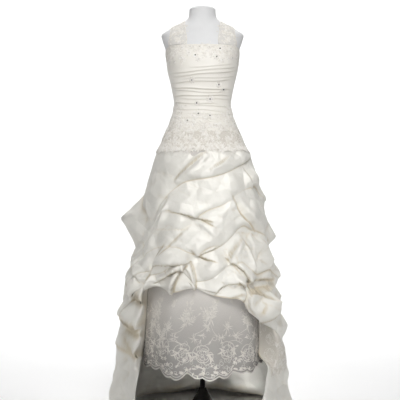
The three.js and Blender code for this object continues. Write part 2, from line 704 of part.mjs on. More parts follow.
function skirtHalf(name, material, thickness, point, from, columns, down) {
  const gap = seamAngle(UNDERSKIRT_SEAM_RADIUS);
  return clothMesh(name, material, {
    surface: (s, t) => point(lerp(from + gap, from + 180 - gap, s), t),
    across: evenSteps(columns),
    down,
    thickness,
  });
}

// Dress form and stand

function formTorso() {
  const columns = 24;
  const hips = [FORM_BOTTOM, 985, 1028, HIP_SEAM, 1130, 1175];
  const trunk = [1205, 1228, 1252, 1285, 1330, 1370, 1400, 1430, 1460];
  const shoulder = [1485, 1503, 1516, 1527, 1537, 1547, 1558, 1571, NECK_TOP];
  const rings = [...hips, ...trunk, ...shoulder].map((z) =>
    Array.from({ length: columns }, (_, i) => bodyPoint((i * 360) / columns, z)),
  );
  const position = rings.flat().flatMap((p) => [p.x, p.y, p.z]);
  const top = rings.length - 1;
  const centreBottom = rings.length * columns;
  position.push(0, 0, FORM_BOTTOM, 0, 0, NECK_TOP);
  const at = (ring, i) => ring * columns + (i % columns);
  const index = [];
  for (let i = 0; i < columns; i++) {
    for (let ring = 0; ring < top; ring++) {
      index.push(at(ring, i), at(ring, i + 1), at(ring + 1, i + 1));
      index.push(at(ring, i), at(ring + 1, i + 1), at(ring + 1, i));
    }
    index.push(centreBottom, at(0, i + 1), at(0, i));
    index.push(centreBottom + 1, at(top, i), at(top, i + 1));
  }
  const geometry = new THREE.BufferGeometry();
  geometry.setAttribute("position", new THREE.Float32BufferAttribute(position, 3));
  geometry.setIndex(index);
  geometry.computeVertexNormals();
  return namedMesh("form_torso", MATERIALS.form, geometry);
}

function namedMesh(name, material, geometry) {
  const mesh = new THREE.Mesh(geometry, material);
  mesh.name = name;
  return mesh;
}

// A solid of revolution from points of radius and height.
function lathe(name, material, profile, sides) {
  const geometry = new THREE.LatheGeometry(profile, sides).rotateX(Math.PI / 2);
  return namedMesh(name, material, geometry);
}

function neckCap() {
  const bottom = NECK_TOP + SEAM_GAP;
  const dome = new THREE.SplineCurve([
    new THREE.Vector2(NECK_CAP_RADIUS, bottom + NECK_CAP_HEIGHT * 0.2),
    new THREE.Vector2(NECK_CAP_RADIUS * 0.84, bottom + NECK_CAP_HEIGHT * 0.65),
    new THREE.Vector2(NECK_CAP_RADIUS * 0.44, bottom + NECK_CAP_HEIGHT * 0.95),
    new THREE.Vector2(0, bottom + NECK_CAP_HEIGHT),
  ]);
  const base = [new THREE.Vector2(0, bottom), new THREE.Vector2(NECK_CAP_RADIUS, bottom)];
  const profile = [...base, ...dome.getPoints(5)];
  return lathe("form_neck_cap", MATERIALS.form, profile, 20);
}

function standPole() {
  const bottom = FOOT_HEIGHT + SEAM_GAP;
  const top = FORM_BOTTOM - SEAM_GAP;
  const geometry = new THREE.CylinderGeometry(POLE_RADIUS, POLE_RADIUS, top - bottom, 16);
  const mesh = namedMesh("stand_pole", MATERIALS.stand, geometry.rotateX(Math.PI / 2));
  mesh.position.z = (top + bottom) / 2;
  return mesh;
}

function standFoot() {
  const flare = new THREE.SplineCurve([
    new THREE.Vector2(FOOT_RADIUS, FOOT_EDGE),
    ...FOOT_FLARE.map(({ radius, z }) => new THREE.Vector2(radius, z)),
    new THREE.Vector2(POLE_RADIUS + 4, FOOT_HEIGHT),
  ]);
  const profile = [
    new THREE.Vector2(0, 0),
    new THREE.Vector2(FOOT_RADIUS, 0),
    ...flare.getPoints(6),
    new THREE.Vector2(0, FOOT_HEIGHT),
  ];
  return lathe("stand_foot", MATERIALS.stand, profile, 28);
}

// Assembly

const dress = new THREE.Group();
dress.add(
  bodicePanel("bodice_front", -SIDE_SEAM, SIDE_SEAM, 16, 26, rucheRelief),
  bodicePanel("bodice_back_right", SIDE_SEAM, CENTRE_BACK, 8, 9),
  bodicePanel("bodice_back_left", -CENTRE_BACK, -SIDE_SEAM, 8, 9),
  strap("strap_right", 1),
  strap("strap_left", -1),
  laceBand("lace_band_front", -90, 90),
  laceBand("lace_band_back", 90, 270),
);

const frontFolds = foldSteps(ROWS_OF_SWAGS, [0]);
const longFolds = foldSteps(ROWS_OF_SWAGS, TRAIN_STEPS);
dress.add(
  overskirtPanel("overskirt_front", 27, frontFolds, -FRONT_SEAM, FRONT_SEAM),
  overskirtPanel("overskirt_right", 9, longFolds, FRONT_SEAM, BACK_SEAM, RIGHT_EDGE),
  overskirtPanel("overskirt_left", 9, longFolds, -BACK_SEAM, -FRONT_SEAM, null, LEFT_EDGE),
  overskirtPanel("overskirt_back_right", 8, longFolds, BACK_SEAM, CENTRE_BACK),
  overskirtPanel("overskirt_back_left", 8, longFolds, CENTRE_BACK, 360 - BACK_SEAM),
);

const netDown = [0, 0.07, 0.3, 0.62, 1];
const liningDown = evenSteps(3);
dress.add(
  skirtHalf("underskirt_front", MATERIALS.net, NET, underskirtPoint, -90, 4 * SCALLOPS, netDown),
  skirtHalf("underskirt_back", MATERIALS.net, NET, underskirtPoint, 90, 4 * SCALLOPS, netDown),
  skirtHalf("underskirt_lining_front", MATERIALS.lining, LINING, liningPoint, -90, 24, liningDown),
  skirtHalf("underskirt_lining_back", MATERIALS.lining, LINING, liningPoint, 90, 24, liningDown),
);

dress.add(formTorso(), neckCap(), standPole(), standFoot());

export default dress;
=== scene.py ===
"""Looks of a wedding dress on a dress form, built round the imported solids. Tables are in millimetres."""

import math

import bpy
import numpy as np
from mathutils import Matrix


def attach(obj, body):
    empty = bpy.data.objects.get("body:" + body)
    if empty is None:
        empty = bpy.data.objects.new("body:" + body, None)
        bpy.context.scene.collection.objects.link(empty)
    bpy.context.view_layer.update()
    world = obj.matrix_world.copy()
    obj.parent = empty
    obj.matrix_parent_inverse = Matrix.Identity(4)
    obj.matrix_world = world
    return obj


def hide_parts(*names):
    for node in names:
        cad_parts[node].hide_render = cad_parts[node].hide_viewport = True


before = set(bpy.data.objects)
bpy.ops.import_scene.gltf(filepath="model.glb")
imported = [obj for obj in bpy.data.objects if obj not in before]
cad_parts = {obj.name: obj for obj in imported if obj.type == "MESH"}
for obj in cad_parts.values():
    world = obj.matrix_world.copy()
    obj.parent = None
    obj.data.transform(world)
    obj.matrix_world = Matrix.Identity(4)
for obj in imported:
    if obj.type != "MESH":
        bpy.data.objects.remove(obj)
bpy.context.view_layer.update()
MM = 0.001

# Heights and cloth sizes, as in the solids
HIP_SEAM = 1080.0
OVERSKIRT_TOP = 1078.6
BUST = 1392.0
UNDERSKIRT_TOP = 1060.0
UNDERSKIRT_HEM = 208.0
LINING_TOP = 760.0
LINING_HEM = 236.0
FLOOR_CLEARANCE = 3.0
SATIN = 2.0
TAFFETA = 1.6
LACE = 1.5
NET = 1.2
LINING = 1.2
LAID_GAP = 0.8
STRAP_GAP = 2.1
BAND_GAP = 1.0
LINING_GAP = 1.1
SIDE_SEAM = 88.0
FRONT_SEAM = 62.0
BACK_SEAM = 122.0
FORM_BOTTOM = 945.0
SHOULDER = 1513.0
NECK_TOP = 1612.0


def table(columns, rows):
    """A table with named columns."""
    return dict(zip(columns.split(), np.array(rows, float).T))


def rows_of(named):
    """The rows of a table."""
    return zip(*named.values())


FORM = table("z half front back", [
    (945, 158, 104, 122), (1028, 165, 110, 132), (1080, 157, 105, 124), (1150, 131, 93, 103),
    (1228, 109, 84, 84), (1300, 119, 96, 92), (1375, 136, 118, 102), (1405, 139, 119, 105),
    (1450, 145, 104, 107), (1490, 158, 84, 102), (1513, 160, 73, 93), (1538, 118, 63, 78),
    (1556, 80, 56, 64), (1574, 59, 51, 54), (1595, 53, 48, 50), (1612, 52, 48, 49),
])
FORM_ROUNDNESS = 2.25
CUP = {"angle": 35, "rise": 7, "wide": 18, "high": 48}
EASE = table("z ease", [(1080, 3.0), (1150, 2.2), (1228, 1.8), (1300, 1.6), (1400, 1.6), (1460, 1.1)])
BODICE_TOP = table("angle z", [
    (0, 1459), (35, 1459), (58, 1457), (74, 1448), (88, 1430), (125, 1406), (180, 1400),
])
SKIRT = table("z half front back", [
    (3, 350, 276, 690), (9, 347, 273, 520), (26, 343, 269, 432), (87, 336, 262, 402), (200, 326, 250, 384),
    (348, 304, 232, 360), (478, 280, 214, 332), (624, 260, 196, 288), (743, 243, 178, 246),
    (861, 224, 160, 204), (960, 204, 142, 172), (1040, 182, 124, 146), (1080, 161, 109, 128),
])
SKIRT_ROUND = 980.0  # below this the skirt is an ellipse
SWAG_ROWS = 5
PICK_UP_KINDS = ("tuck", "swag", "held")
PICK_UP_COLUMNS = ["angle"] + [f"{kind}{row + 1}" for kind in PICK_UP_KINDS for row in range(SWAG_ROWS)]
PICK_UPS = table(" ".join(PICK_UP_COLUMNS), [
    (-160, 905, 765, 625, 485, 350, 28, 34, 32, 36, 32, 100, 25, 100, 25, 100),
    (-138, 880, 745, 605, 465, 330, 34, 30, 34, 32, 32, 25, 100, 25, 100, 25),
    (-116, 770, 650, 535, 412, 286, 14, 32, 26, 34, 22, 60, 40, 100, 40, 100),
    (-95, 662, 600, 535, 455, 360, 8, 24, 26, 30, 26, 60, 30, 40, 40, 40),
    (-76, 705, 645, 585, 520, 440, 10, 16, 22, 26, 26, 30, 20, 25, 30, 40),
    (-60, 752, 694, 642, 575, 505, 10, 14, 18, 26, 26, 10, 20, 30, 30, 60),
    (-48, 800, 745, 668, 590, 528, 16, 18, 22, 28, 20, 35, 20, 25, 40, 75),
    (-38, 868, 815, 682, 584, 537, 22, 22, 24, 26, 12, 60, 30, 40, 60, 100),
    (-22, 922, 816, 686, 612, 516, 25, 26, 27, 32, 26, 75, 65, 65, 30, 60),
    (-8, 938, 800, 662, 562, 534, 26, 28, 28, 24, 10, 75, 100, 100, 80, 100),
    (6, 945, 824, 685, 566, 508, 27, 28, 28, 30, 16, 72, 65, 65, 40, 60),
    (20, 958, 846, 703, 614, 494, 26, 27, 26, 26, 27, 75, 35, 40, 35, 60),
    (31, 972, 878, 748, 630, 484, 24, 26, 24, 26, 30, 80, 20, 75, 50, 70),
    (38, 982, 893, 765, 606, 440, 22, 25, 22, 24, 28, 82, 15, 100, 70, 85),
    (46, 994, 905, 752, 584, 406, 19, 24, 26, 22, 24, 85, 25, 70, 100, 100),
    (60, 1012, 915, 734, 596, 368, 13, 26, 30, 28, 24, 95, 60, 40, 50, 60),
    (74, 1022, 895, 712, 570, 312, 6, 18, 20, 20, 14, 95, 70, 60, 60, 60),
    (92, 965, 848, 678, 530, 322, 4, 16, 18, 14, 14, 60, 90, 90, 90, 60),
    (114, 905, 765, 622, 485, 352, 32, 26, 26, 34, 28, 25, 100, 60, 30, 100),
    (138, 890, 750, 610, 470, 335, 26, 34, 34, 26, 34, 100, 25, 25, 100, 25),
    (160, 900, 760, 620, 480, 345, 34, 28, 28, 36, 30, 25, 100, 100, 25, 100),
    (180, 912, 772, 632, 492, 357, 34, 32, 36, 32, 34, 45, 40, 30, 45, 30),
])
FULLY_HELD = 100.0  # a tuck held like this lies on the skirt below, and a tack holds it there
UNDERSKIRT = table("z half front back", [
    (188, 229, 250, 252), (300, 231, 236, 246), (400, 228, 214, 236), (528, 222, 190, 220),
    (624, 214, 172, 206), (743, 203, 152, 186), (861, 190, 134, 165), (960, 176, 120, 146),
    (1060, 160, 110, 130),
])


# Curves and sections

def curve(at, values):
    """A smooth curve through points in order of their position, held at its ends."""
    last = len(at) - 1

    def evaluate(x):
        x = np.clip(x, at[0], at[-1])
        i1 = np.clip(np.searchsorted(at, x, side="right"), 1, last)
        i0 = i1 - 1
        before = np.where(i0 == 0, i1, i0 - 1)
        after = np.where(i1 == last, i0, i1 + 1)
        half = (at[i1] - at[i0]) / 2
        wp = half / (at[i0] - at[before])
        wn = half / (at[after] - at[i1])
        p = (x - at[i0]) / (at[i1] - at[i0])
        p2 = p * p
        p3 = p2 * p
        return (
            values[before] * (-wp * p3 + 2 * wp * p2 - wp * p)
            + values[i0] * ((1 + wp) * p3 - (1.5 + 2 * wp) * p2 + (wp - 0.5) * p + 1)
            + values[i1] * (-(1 + wn) * p3 + (1.5 + wn) * p2 + 0.5 * p)
            + values[after] * (wn * p3 - wn * p2)
        )

    return evaluate


def spline(points, count):
    """Points on a smooth curve through a few points."""
    points = np.array(points, float)
    at = np.arange(len(points), dtype=float)
    t = np.linspace(0, len(points) - 1, count)
    return np.stack([curve(at, column)(t) for column in points.T], -1)


def round_curves(kind):
    """For each row of tucks, a curve all round the skirt."""
    at = PICK_UPS["angle"]
    around = np.concatenate([at - 360, at, at + 360])
    return [curve(around, np.tile(PICK_UPS[f"{kind}{row + 1}"], 3)) for row in range(SWAG_ROWS)]


def section_curve(sections):
    parts = [curve(sections["z"], sections[side]) for side in ("half", "front", "back")]
    return lambda z, out=0.0: [part(z) + out for part in parts]


def bow(t, start, middle, end):
    """The curve through three values at 0, a half and 1."""
    pull = 2 * middle - (start + end) / 2
    return (1 - t) ** 2 * start + 2 * t * (1 - t) * pull + t ** 2 * end


def smooth(x, low, high):
    t = np.clip((x - low) / (high - low), 0, 1)
    return t * t * (3 - 2 * t)


def mix(a, b, t):
    return a + (b - a) * t


def bell(distance, wide):
    return np.exp(-((distance / wide) ** 2))


def turned(angle):
    return (angle + 180) % 360 - 180


def section_point(section, angle, z, roundness=2.0):
    half, front, back = section
    sine = np.sin(np.radians(angle))
    cosine = np.cos(np.radians(angle))
    power = 2 / roundness
    x = half * np.sign(sine) * np.abs(sine) ** power
    depth = np.where(cosine > 0, front, back)
    y = -depth * np.sign(cosine) * np.abs(cosine) ** power
    return np.stack(np.broadcast_arrays(x, y, z), -1)


def skirt_roundness(z):
    return mix(2.0, FORM_ROUNDNESS, smooth(z, SKIRT_ROUND, HIP_SEAM))


form_section = section_curve(FORM)
skirt_section = section_curve(SKIRT)
under_section = section_curve(UNDERSKIRT)
ease = curve(EASE["z"], EASE["ease"])
bodice_top = curve(BODICE_TOP["angle"], BODICE_TOP["z"])
tucks, swags, helds = (round_curves(kind) for kind in ("tuck", "swag", "held"))


def body_point(angle, z, out=0.0):
    at = np.abs(turned(angle))
    cup = CUP["rise"] * bell(at - CUP["angle"], CUP["wide"]) * bell(z - BUST, CUP["high"])
    return section_point(form_section(z, out + cup), angle, z, FORM_ROUNDNESS)


# Relief of the overskirt: folds, the wing, peaks, poufs, facets and creases

FOLD_SCALE = 3.8  # millimetres of the skirt for a degree, near enough
FOLDS = table("angle0 z0 angle1 z1 rise wide", [
    (2, 1052, -24, 955, 9, 11), (30, 1010, 8, 975, 7, 11), (33, 884, 52, 756, 10, 12),
    (-8, 796, 16, 712, 9, 12), (14, 800, 34, 866, 8, 11), (24, 642, 36, 740, 10, 11),
    (37, 735, 44, 610, 9, 11), (-30, 880, -52, 690, 10, 13), (-16, 606, -26, 528, 10, 11),
])
WING_TIP = {"angle": -92, "z": 790, "rise": 84, "power": 1.15}
WING_CORNERS = table("angle z", [(-64, 808), (-88, 884), (-124, 800), (-116, 700), (-86, 652), (-66, 716)])
PEAKS = table("angle z rise wide up down", [
    (86, 719, 22, 26, 60, 42), (80, 562, 22, 22, 52, 40), (88, 484, 26, 24, 46, 48),
    (84, 372, 22, 20, 46, 60), (84, 860, 14, 18, 40, 46), (-92, 640, 14, 16, 34, 36),
    (46, 690, 18, 11, 50, 60), (60, 640, 16, 12, 40, 40), (58, 480, 22, 13, 44, 34),
    (24, 560, 12, 10, 36, 30), (-46, 562, 18, 9, 50, 34), (-22, 600, 10, 9, 26, 50),
    (30, 470, 10, 8, 40, 20),
])
POUFS = table("angle z rise wide high", [
    (-66, 556, 8, 12, 30), (-66, 440, 8, 14, 30), (-66, 318, 8, 14, 30), (-27, 655, 14, 12, 34),
    (16, 775, 10, 13, 42), (-24, 745, 9, 11, 38), (48, 820, 10, 8, 44), (62, 690, 12, 9, 34),
    (8, 610, 12, 13, 34), (30, 660, 10, 6, 30), (56, 468, 20, 12, 36), (58, 596, 12, 10, 28),
    (14, 900, 8, 16, 26), (64, 950, 10, 9, 30), (-2, 880, 7, 10, 26), (-28, 592, -18, 7, 20),
])
FACETS = table("cell rise", [(120, 9.0), (62, 7.0), (27, 1.2)])
FACET_REPEAT = 64  # facets each way before their heights come again
FACET_HEIGHTS = np.random.default_rng(5).uniform(-1, 1, (FACET_REPEAT, FACET_REPEAT))
FACET_BEND = 0.2  # how far the rows of facets wander, in facets
FACET_WAVE = {"down": 0.8, "across": 0.9, "shift": 1}
FACET_SKEW = 0.366  # turns squares into even triangles
FACET_END = (165, 178)  # facets fade out towards the middle of the back
CREASES = table("angle0 z0 angle1 z1 angle2 z2 step0 step1 step2 above below", [
    (3, 1046, -12, 1001, -27, 944, 3, 14, 9, 34, 30),
    (49, 751, 37, 801, 28, 869, 10, 14, 6, 40, 28),
    (54, 838, 54, 907, 50, 968, 6, 10, 8, 30, 30),
    (-35, 861, -38, 808, -43, 751, 12, 9, 2, 50, 35),
    (-9, 801, 3, 790, 10, 775, 7, 6, 0, 18, 14),
    (-6, 664, 1, 643, 8, 631, 7, 6, 0, 18, 18),
    (-6, 547, -7, 595, -11, 639, 16, 14, 6, 45, 22),
    (-33, 685, -40, 628, -48, 533, 8, 17, 18, 40, 25),
    (-36, 628, -26, 640, -15, 638, 14, 36, 24, 36, 14),
    (-37, 560, -28, 588, -16, 616, 10, 18, 18, 16, 20),
    (-23, 527, -20, 572, -15, 618, 22, 22, 16, 18, 30),
    (-15, 618, -10, 590, -8, 556, 12, 9, 3, 18, 18),
    (34, 718, 25, 674, 22, 638, 4, 11, 13, 22, 20),
    (43, 605, 42, 650, 35, 718, 11, 13, 5, 22, 25),
    (22, 638, 33, 599, 40, 561, 6, 17, 15, 35, 20),
    (11, 518, 19, 550, 32, 563, 3, 11, 17, 30, 16),
    (32, 489, 34, 518, 33, 560, 10, 15, 15, 20, 16),
    (32, 563, 42, 570, 66, 561, 19, 21, 10, 35, 22),
    (68, 530, 47, 521, 39, 531, 8, 22, 15, 35, 16),
    (39, 531, 36, 488, 39, 446, 13, 13, 6, 25, 20),
    (80, 483, 58, 488, 47, 522, 4, 13, 11, 25, 18),
    (-6, 545, 2, 530, 12, 518, 11, 9, 3, 22, 16),
    (60, 612, 63, 660, 60, 700, 5, 10, 6, 25, 30),
    (-7, 804, 3, 780, 12, 756, 7, 6, 0, 14, 14),
    (-4, 662, 7, 676, 18, 697, 9, 8, 2, 16, 14),
    (-2, 657, 6, 640, 15, 623, 8, 6, 0, 14, 14),
    (-31, 819, -20, 813, -9, 806, 2, 6, 9, 18, 14),
    (-14, 748, -23, 706, -32, 664, 3, 7, 4, 30, 30),
    (31, 1031, 20, 1006, 10, 982, 2, 7, 4, 25, 25),
])
ROLLS = table(" ".join(CREASES), [
    (-78, 610, -66, 596, -56, 560, 10, 14, 8, 20, 14),
    (-74, 542, -58, 487, -42, 456, 8, 22, 10, 24, 18),
    (-92, 424, -62, 388, -40, 386, 6, 24, 11, 28, 20),
    (-74, 372, -54, 358, -40, 328, 4, 11, 5, 16, 14),
    (-70, 346, -54, 300, -41, 262, 3, 9, 5, 14, 14),
    (-84, 296, -58, 284, -41, 258, 6, 13, 5, 22, 18),
    (38, 434, 50, 412, 79, 484, 6, 20, 9, 26, 14),
])
STARS = [  # ranges of degrees to the middle and end, way up, ranges of height, steps, range above, below
    ((5, 8), (11, 19), 1, (-4, 12), (0, 34), (18, 12), (22, 36), 16),
    ((2, 5), (5, 11), -1, (24, 40), (60, 95), (13, 10), (18, 28), 18),
]
STAR_TOP = {
    "side": (-7, 7), "up": (45, 75), "bend": 0.3, "middle": 25, "steps": (10, 8, 0), "spread": (18, 18),
}
CREASE_PARTS = 14  # straight stretches that a crease's curve is measured in
CREASE_REACH = 3.0  # how many times its spread a crease is worked out to
CREASE_EDGE = 2.6
CREASE_END = 14.0  # how far a crease runs on past its ends
CREASE_OVERLAP = 0.6  # how far the upper cloth slides over the lower, as a share of the step
CREASE_SLIDE = 9.0
CREASE_GAIN = 1.3
RAISED = 0.6  # share of a step that lifts the upper cloth
LOWERED = 0.4  # share of a step that lowers the cloth under it
ROLL = {"swell": 1.6, "power": 1.5}


def fold_rise(angle, z):
    rise = np.zeros(np.broadcast(angle, z).shape)
    for a0, z0, a1, z1, high, wide in rows_of(FOLDS):
        across = (a1 - a0) * FOLD_SCALE
        drop = z1 - z0
        length = math.hypot(across, drop)
        u = (angle - a0) * FOLD_SCALE
        v = z - z0
        along = np.clip((u * across + v * drop) / length ** 2, 0, 1)
        rise += high * np.sin(np.pi * along) * bell((u * drop - v * across) / length, wide)
    return rise


def wing_rise(angle, z):
    """A pointed fold that stands out at the left side: flat faces between its tip and its corners."""
    u = (angle - WING_TIP["angle"]) * FOLD_SCALE
    v = z - WING_TIP["z"]
    corner_u = (WING_CORNERS["angle"] - WING_TIP["angle"]) * FOLD_SCALE
    corner_v = WING_CORNERS["z"] - WING_TIP["z"]
    away = np.zeros(np.broadcast(u, v).shape)
    for i in range(len(corner_u)):
        u0, v0 = corner_u[i - 1], corner_v[i - 1]
        u1, v1 = corner_u[i], corner_v[i]
        reach = u0 * v1 - u1 * v0
        away = np.maximum(away, (u * (v1 - v0) - v * (u1 - u0)) / reach)
    return WING_TIP["rise"] * np.maximum(0, 1 - away) ** WING_TIP["power"]


def pouf_rise(angle, z):
    """Pointed peaks and round poufs."""
    rise = np.zeros(np.broadcast(angle, z).shape)
    for at, height, high, wide, up, down in rows_of(PEAKS):
        off = z - height
        away = np.abs(turned(angle - at)) / wide + np.where(off > 0, off / up, -off / down)
        rise += high * np.maximum(0, 1 - away)
    for at, height, high, wide, tall in rows_of(POUFS):
        rise += high * bell(turned(angle - at), wide) * bell(z - height, tall)
    return rise


def facet_relief(angle, z):
    """Flat uneven facets of crisp cloth: heights at the corners of triangles, with straight faces between."""
    u = angle * FOLD_SCALE
    rise = np.zeros(angle.shape)
    for cell, high in rows_of(FACETS):
        bend = FACET_BEND * cell
        x = (u + bend * np.sin(z / (FACET_WAVE["down"] * cell))) / cell
        y = (z + bend * np.sin(u / (FACET_WAVE["across"] * cell) + FACET_WAVE["shift"])) / cell
        skew = (x + y) * FACET_SKEW
        x, y = x + skew, y + skew
        i, j = np.floor(x).astype(int), np.floor(y).astype(int)
        fx, fy = x - i, y - j
        near, right, top, far = (FACET_HEIGHTS[(i + di) % FACET_REPEAT, (j + dj) % FACET_REPEAT]
                                 for di, dj in ((0, 0), (1, 0), (0, 1), (1, 1)))
        side = np.where(fx > fy, right, top)
        rise += high * (near * (1 - np.maximum(fx, fy)) + side * np.abs(fx - fy) + far * np.minimum(fx, fy))
    return rise * (1 - smooth(np.abs(angle), *FACET_END))


def star_creases():
    """Creases that run out from the tacks of the sides and back, where none are placed one by one."""
    rng = np.random.default_rng(11)
    creases = []

    def add(angles, heights, steps, above, below):
        places = [value for place in zip(angles, heights) for value in place]
        creases.append((*places, *steps, above, below))

    for row in range(SWAG_ROWS):
        for at, z, pull in zip(*[PICK_UPS[name] for name in ("angle", f"tuck{row + 1}", f"held{row + 1}")]):
            if pull < FULLY_HELD or abs(at) < FRONT_SEAM:
                continue
            for side in (-1, 1):
                for near, far, up, near_up, far_up, steps, above, below in STARS:
                    angles = [at, *[at + side * rng.uniform(*span) for span in (near, far)]]
                    heights = [z, *[z + up * rng.uniform(*span) for span in (near_up, far_up)]]
                    add(angles[::side], heights[::side], (*steps, 0)[::side], rng.uniform(*above), below)
            end = at + rng.uniform(*STAR_TOP["side"])
            angles = [at, mix(at, end, STAR_TOP["bend"]), end]
            heights = [z, z + STAR_TOP["middle"], z + rng.uniform(*STAR_TOP["up"])]
            add(angles, heights, STAR_TOP["steps"], *STAR_TOP["spread"])
    return table(" ".join(CREASES), creases)


STAR_CREASES = star_creases()
ALL_CREASES = {name: np.concatenate([CREASES[name], STAR_CREASES[name]]) for name in CREASES}


def nearest(u, v, way_u, way_v):
    """For each place, how far it lies from a bent line, on which side, and how far along the line that is."""
    best = np.full(u.shape, 1e9)
    signed = np.zeros(u.shape)
    at = np.zeros(u.shape)
    for i, (u0, v0, du, dv) in enumerate(zip(way_u, way_v, np.diff(way_u), np.diff(way_v))):
        length = math.hypot(du, dv)
        t = np.clip(((u - u0) * du + (v - v0) * dv) / length ** 2, 0, 1)
        off_u, off_v = u - u0 - t * du, v - v0 - t * dv
        away = np.hypot(off_u, off_v)
        closer = away < best
        best = np.where(closer, away, best)
        signed = np.where(closer, (du * off_v - dv * off_u) / length, signed)
        at = np.where(closer, (i + t) / CREASE_PARTS, at)
    return best, signed, at


def crease_relief(angle, z, creases, rounded=False):
    """How far creases lift the cloth and slide it down. Cloth left of the way one runs lies on top."""
    lift = np.zeros(angle.shape)
    slide = np.zeros(angle.shape)
    share = np.linspace(0, 1, CREASE_PARTS + 1)
    for a0, z0, a1, z1, a2, z2, step0, step1, step2, above, below in rows_of(creases):
        reach = CREASE_REACH * max(above, below)
        middle = (a0 + a2) / 2
        near = np.abs(turned(angle - middle)) * FOLD_SCALE < reach + abs(a2 - a0) * FOLD_SCALE
        near &= (z > min(z0, z1, z2) - reach) & (z < max(z0, z1, z2) + reach)
        if not near.any():
            continue
        u = turned(angle[near] - middle) * FOLD_SCALE
        way_u = (bow(share, a0, a1, a2) - middle) * FOLD_SCALE
        away, signed, at = nearest(u, z[near], way_u, bow(share, z0, z1, z2))
        past = np.sqrt(np.maximum(0, away ** 2 - signed ** 2))
        deep = CREASE_GAIN * np.maximum(0, bow(at, step0, step1, step2)) * bell(past, CREASE_END)
        over = np.tanh(signed / CREASE_EDGE)
        off = np.maximum(0, signed) / above
        swell = (1 + ROLL["swell"] * off) * np.exp(-off ** ROLL["power"]) if rounded else np.exp(-off)
        sunk = np.exp(np.minimum(0, signed) / below)
        lift[near] += deep * over * np.where(over > 0, RAISED * swell, LOWERED * sunk)
        slide[near] += deep * CREASE_OVERLAP * np.where(signed > 0, np.exp(-signed / CREASE_SLIDE), 0)
    return lift, slide


# Surfaces of the skirts

POUCH = 0.2  # share of a swag that turns in to the tuck below it
POUCH_POWER = 2
HOLLOW = 0.75  # share of a swag that rises from the tuck above it
HOLLOW_POWER = 1.3
SWAG_DROOP = 0.15
SAG = {"start": 0.45, "power": 2.5}
LEAST_SWAG = 2.0
FIRST_SWAG = (0.1, 0.75)  # where the first swag fills out, as shares of its height
SWAG_CHANGE = 0.6  # share of its height over which a swag takes its own fullness
FRONT_FLAT = 0.5  # how much flatter the swags of the front lie than the table says
FRONT_END = (30, 58)  # degrees over which they become full
CALM = {"share": 0.7, "z": (880, 980), "angle": (50, 70)}  # few facets high on the sides
FACET_TOP = (0.1, 0.5)  # facets come in over this share of the first swag
TRAIN_FLUTE = 18.0
TRAIN_FLUTES = 8
TRAIN_TOP = 0.5  # share of the train's height that its last pouch takes
LEFT_FLARE = {"angle": -92, "rise": 16, "wide": 38, "start": 0.4}
UNDERSKIRT_FLUTE = 7.0
UNDERSKIRT_FLUTES = 9
FLUTE_TOP = 700.0
SEWN = (110, 12)  # how far under its top the underskirt is still sewn to the skirt, and hangs free
HEM_LIFT = 22.0
HEM_DIPS = table("angle drop wide", [
    (-47, -6, 7), (-28, 15, 9), (-14, -9, 6), (3, 8, 8), (19, 5, 7), (34, -5, 6), (48, 8, 8),
])
SCALLOP = 11.0
SCALLOPS = 12  # on half the hem


def overskirt_point(angle, fold):
    """A point of the overskirt: whole folds count the tucks passed, the rest is the way to the next."""
    angle, fold = np.broadcast_arrays(angle, fold)
    row = np.minimum(np.floor(fold), SWAG_ROWS).astype(int)
    share = fold - row
    none = np.zeros(angle.shape)

    def ends(first, between, last):
        """A value at the tuck above and the tuck below."""
        levels = np.stack([none + first, *between, none + last])
        return [np.take_along_axis(levels, row[None] + i, 0)[0] for i in (0, 1)]

    top, bottom = ends(OVERSKIRT_TOP, [tuck(angle) for tuck in tucks], FLOOR_CLEARANCE)
    above, below = ends(0, [np.maximum(LEAST_SWAG, swag(angle)) for swag in swags], 0)
    pull_top, pull_bottom = ends(0, [np.clip(held(angle) / FULLY_HELD, 0, 1) for held in helds], 0)
    in_train = row == SWAG_ROWS
    at = turned(angle)
    full = mix(above, below, smooth(share, 0, SWAG_CHANGE))
    swag = np.where(row == 0, below * smooth(share, *FIRST_SWAG), full)
    swag = swag * (1 - FRONT_FLAT * (1 - smooth(np.abs(at), *FRONT_END)))
    lip = 1 - np.clip((1 - share) / POUCH, 0, 1)
    rise = 1 - np.clip(share / HOLLOW, 0, 1)
    hollow = np.where(row == 0, 0, pull_top) * rise ** HOLLOW_POWER
    puff = swag * (1 - pull_bottom * lip ** POUCH_POWER - hollow)
    sag = np.sin(np.pi * np.clip((share - SAG["start"]) / (1 - SAG["start"]), 0, 1) ** SAG["power"])
    z = mix(top, bottom, share) - np.where(in_train, 0, SWAG_DROOP * swag * pull_bottom * sag)
    puff = puff + fold_rise(at, z) + wing_rise(at, z)
    reliefs = crease_relief(at, z, ALL_CREASES), crease_relief(at, z, ROLLS, True)
    lift, slide = (crease + roll for crease, roll in zip(*reliefs))
    calm = 1 - CALM["share"] * smooth(z, *CALM["z"]) * smooth(np.abs(at), *CALM["angle"])
    lift = lift + facet_relief(at, z) * calm * smooth(fold, *FACET_TOP) + pouf_rise(at, z)
    z = z - slide
    wave = TRAIN_FLUTE * np.cos(np.radians(TRAIN_FLUTES * angle)) * smooth(share, 0, 1)
    flare = LEFT_FLARE["rise"] * bell(at - LEFT_FLARE["angle"], LEFT_FLARE["wide"])
    flare = flare * smooth(share, 0, LEFT_FLARE["start"])
    tail = above * (1 - pull_top * rise ** POUCH_POWER) * (1 - smooth(share, 0, TRAIN_TOP)) + wave + flare
    section = skirt_section(z, np.where(in_train, tail, puff) + lift)
    return section_point(section, angle, z, skirt_roundness(z))


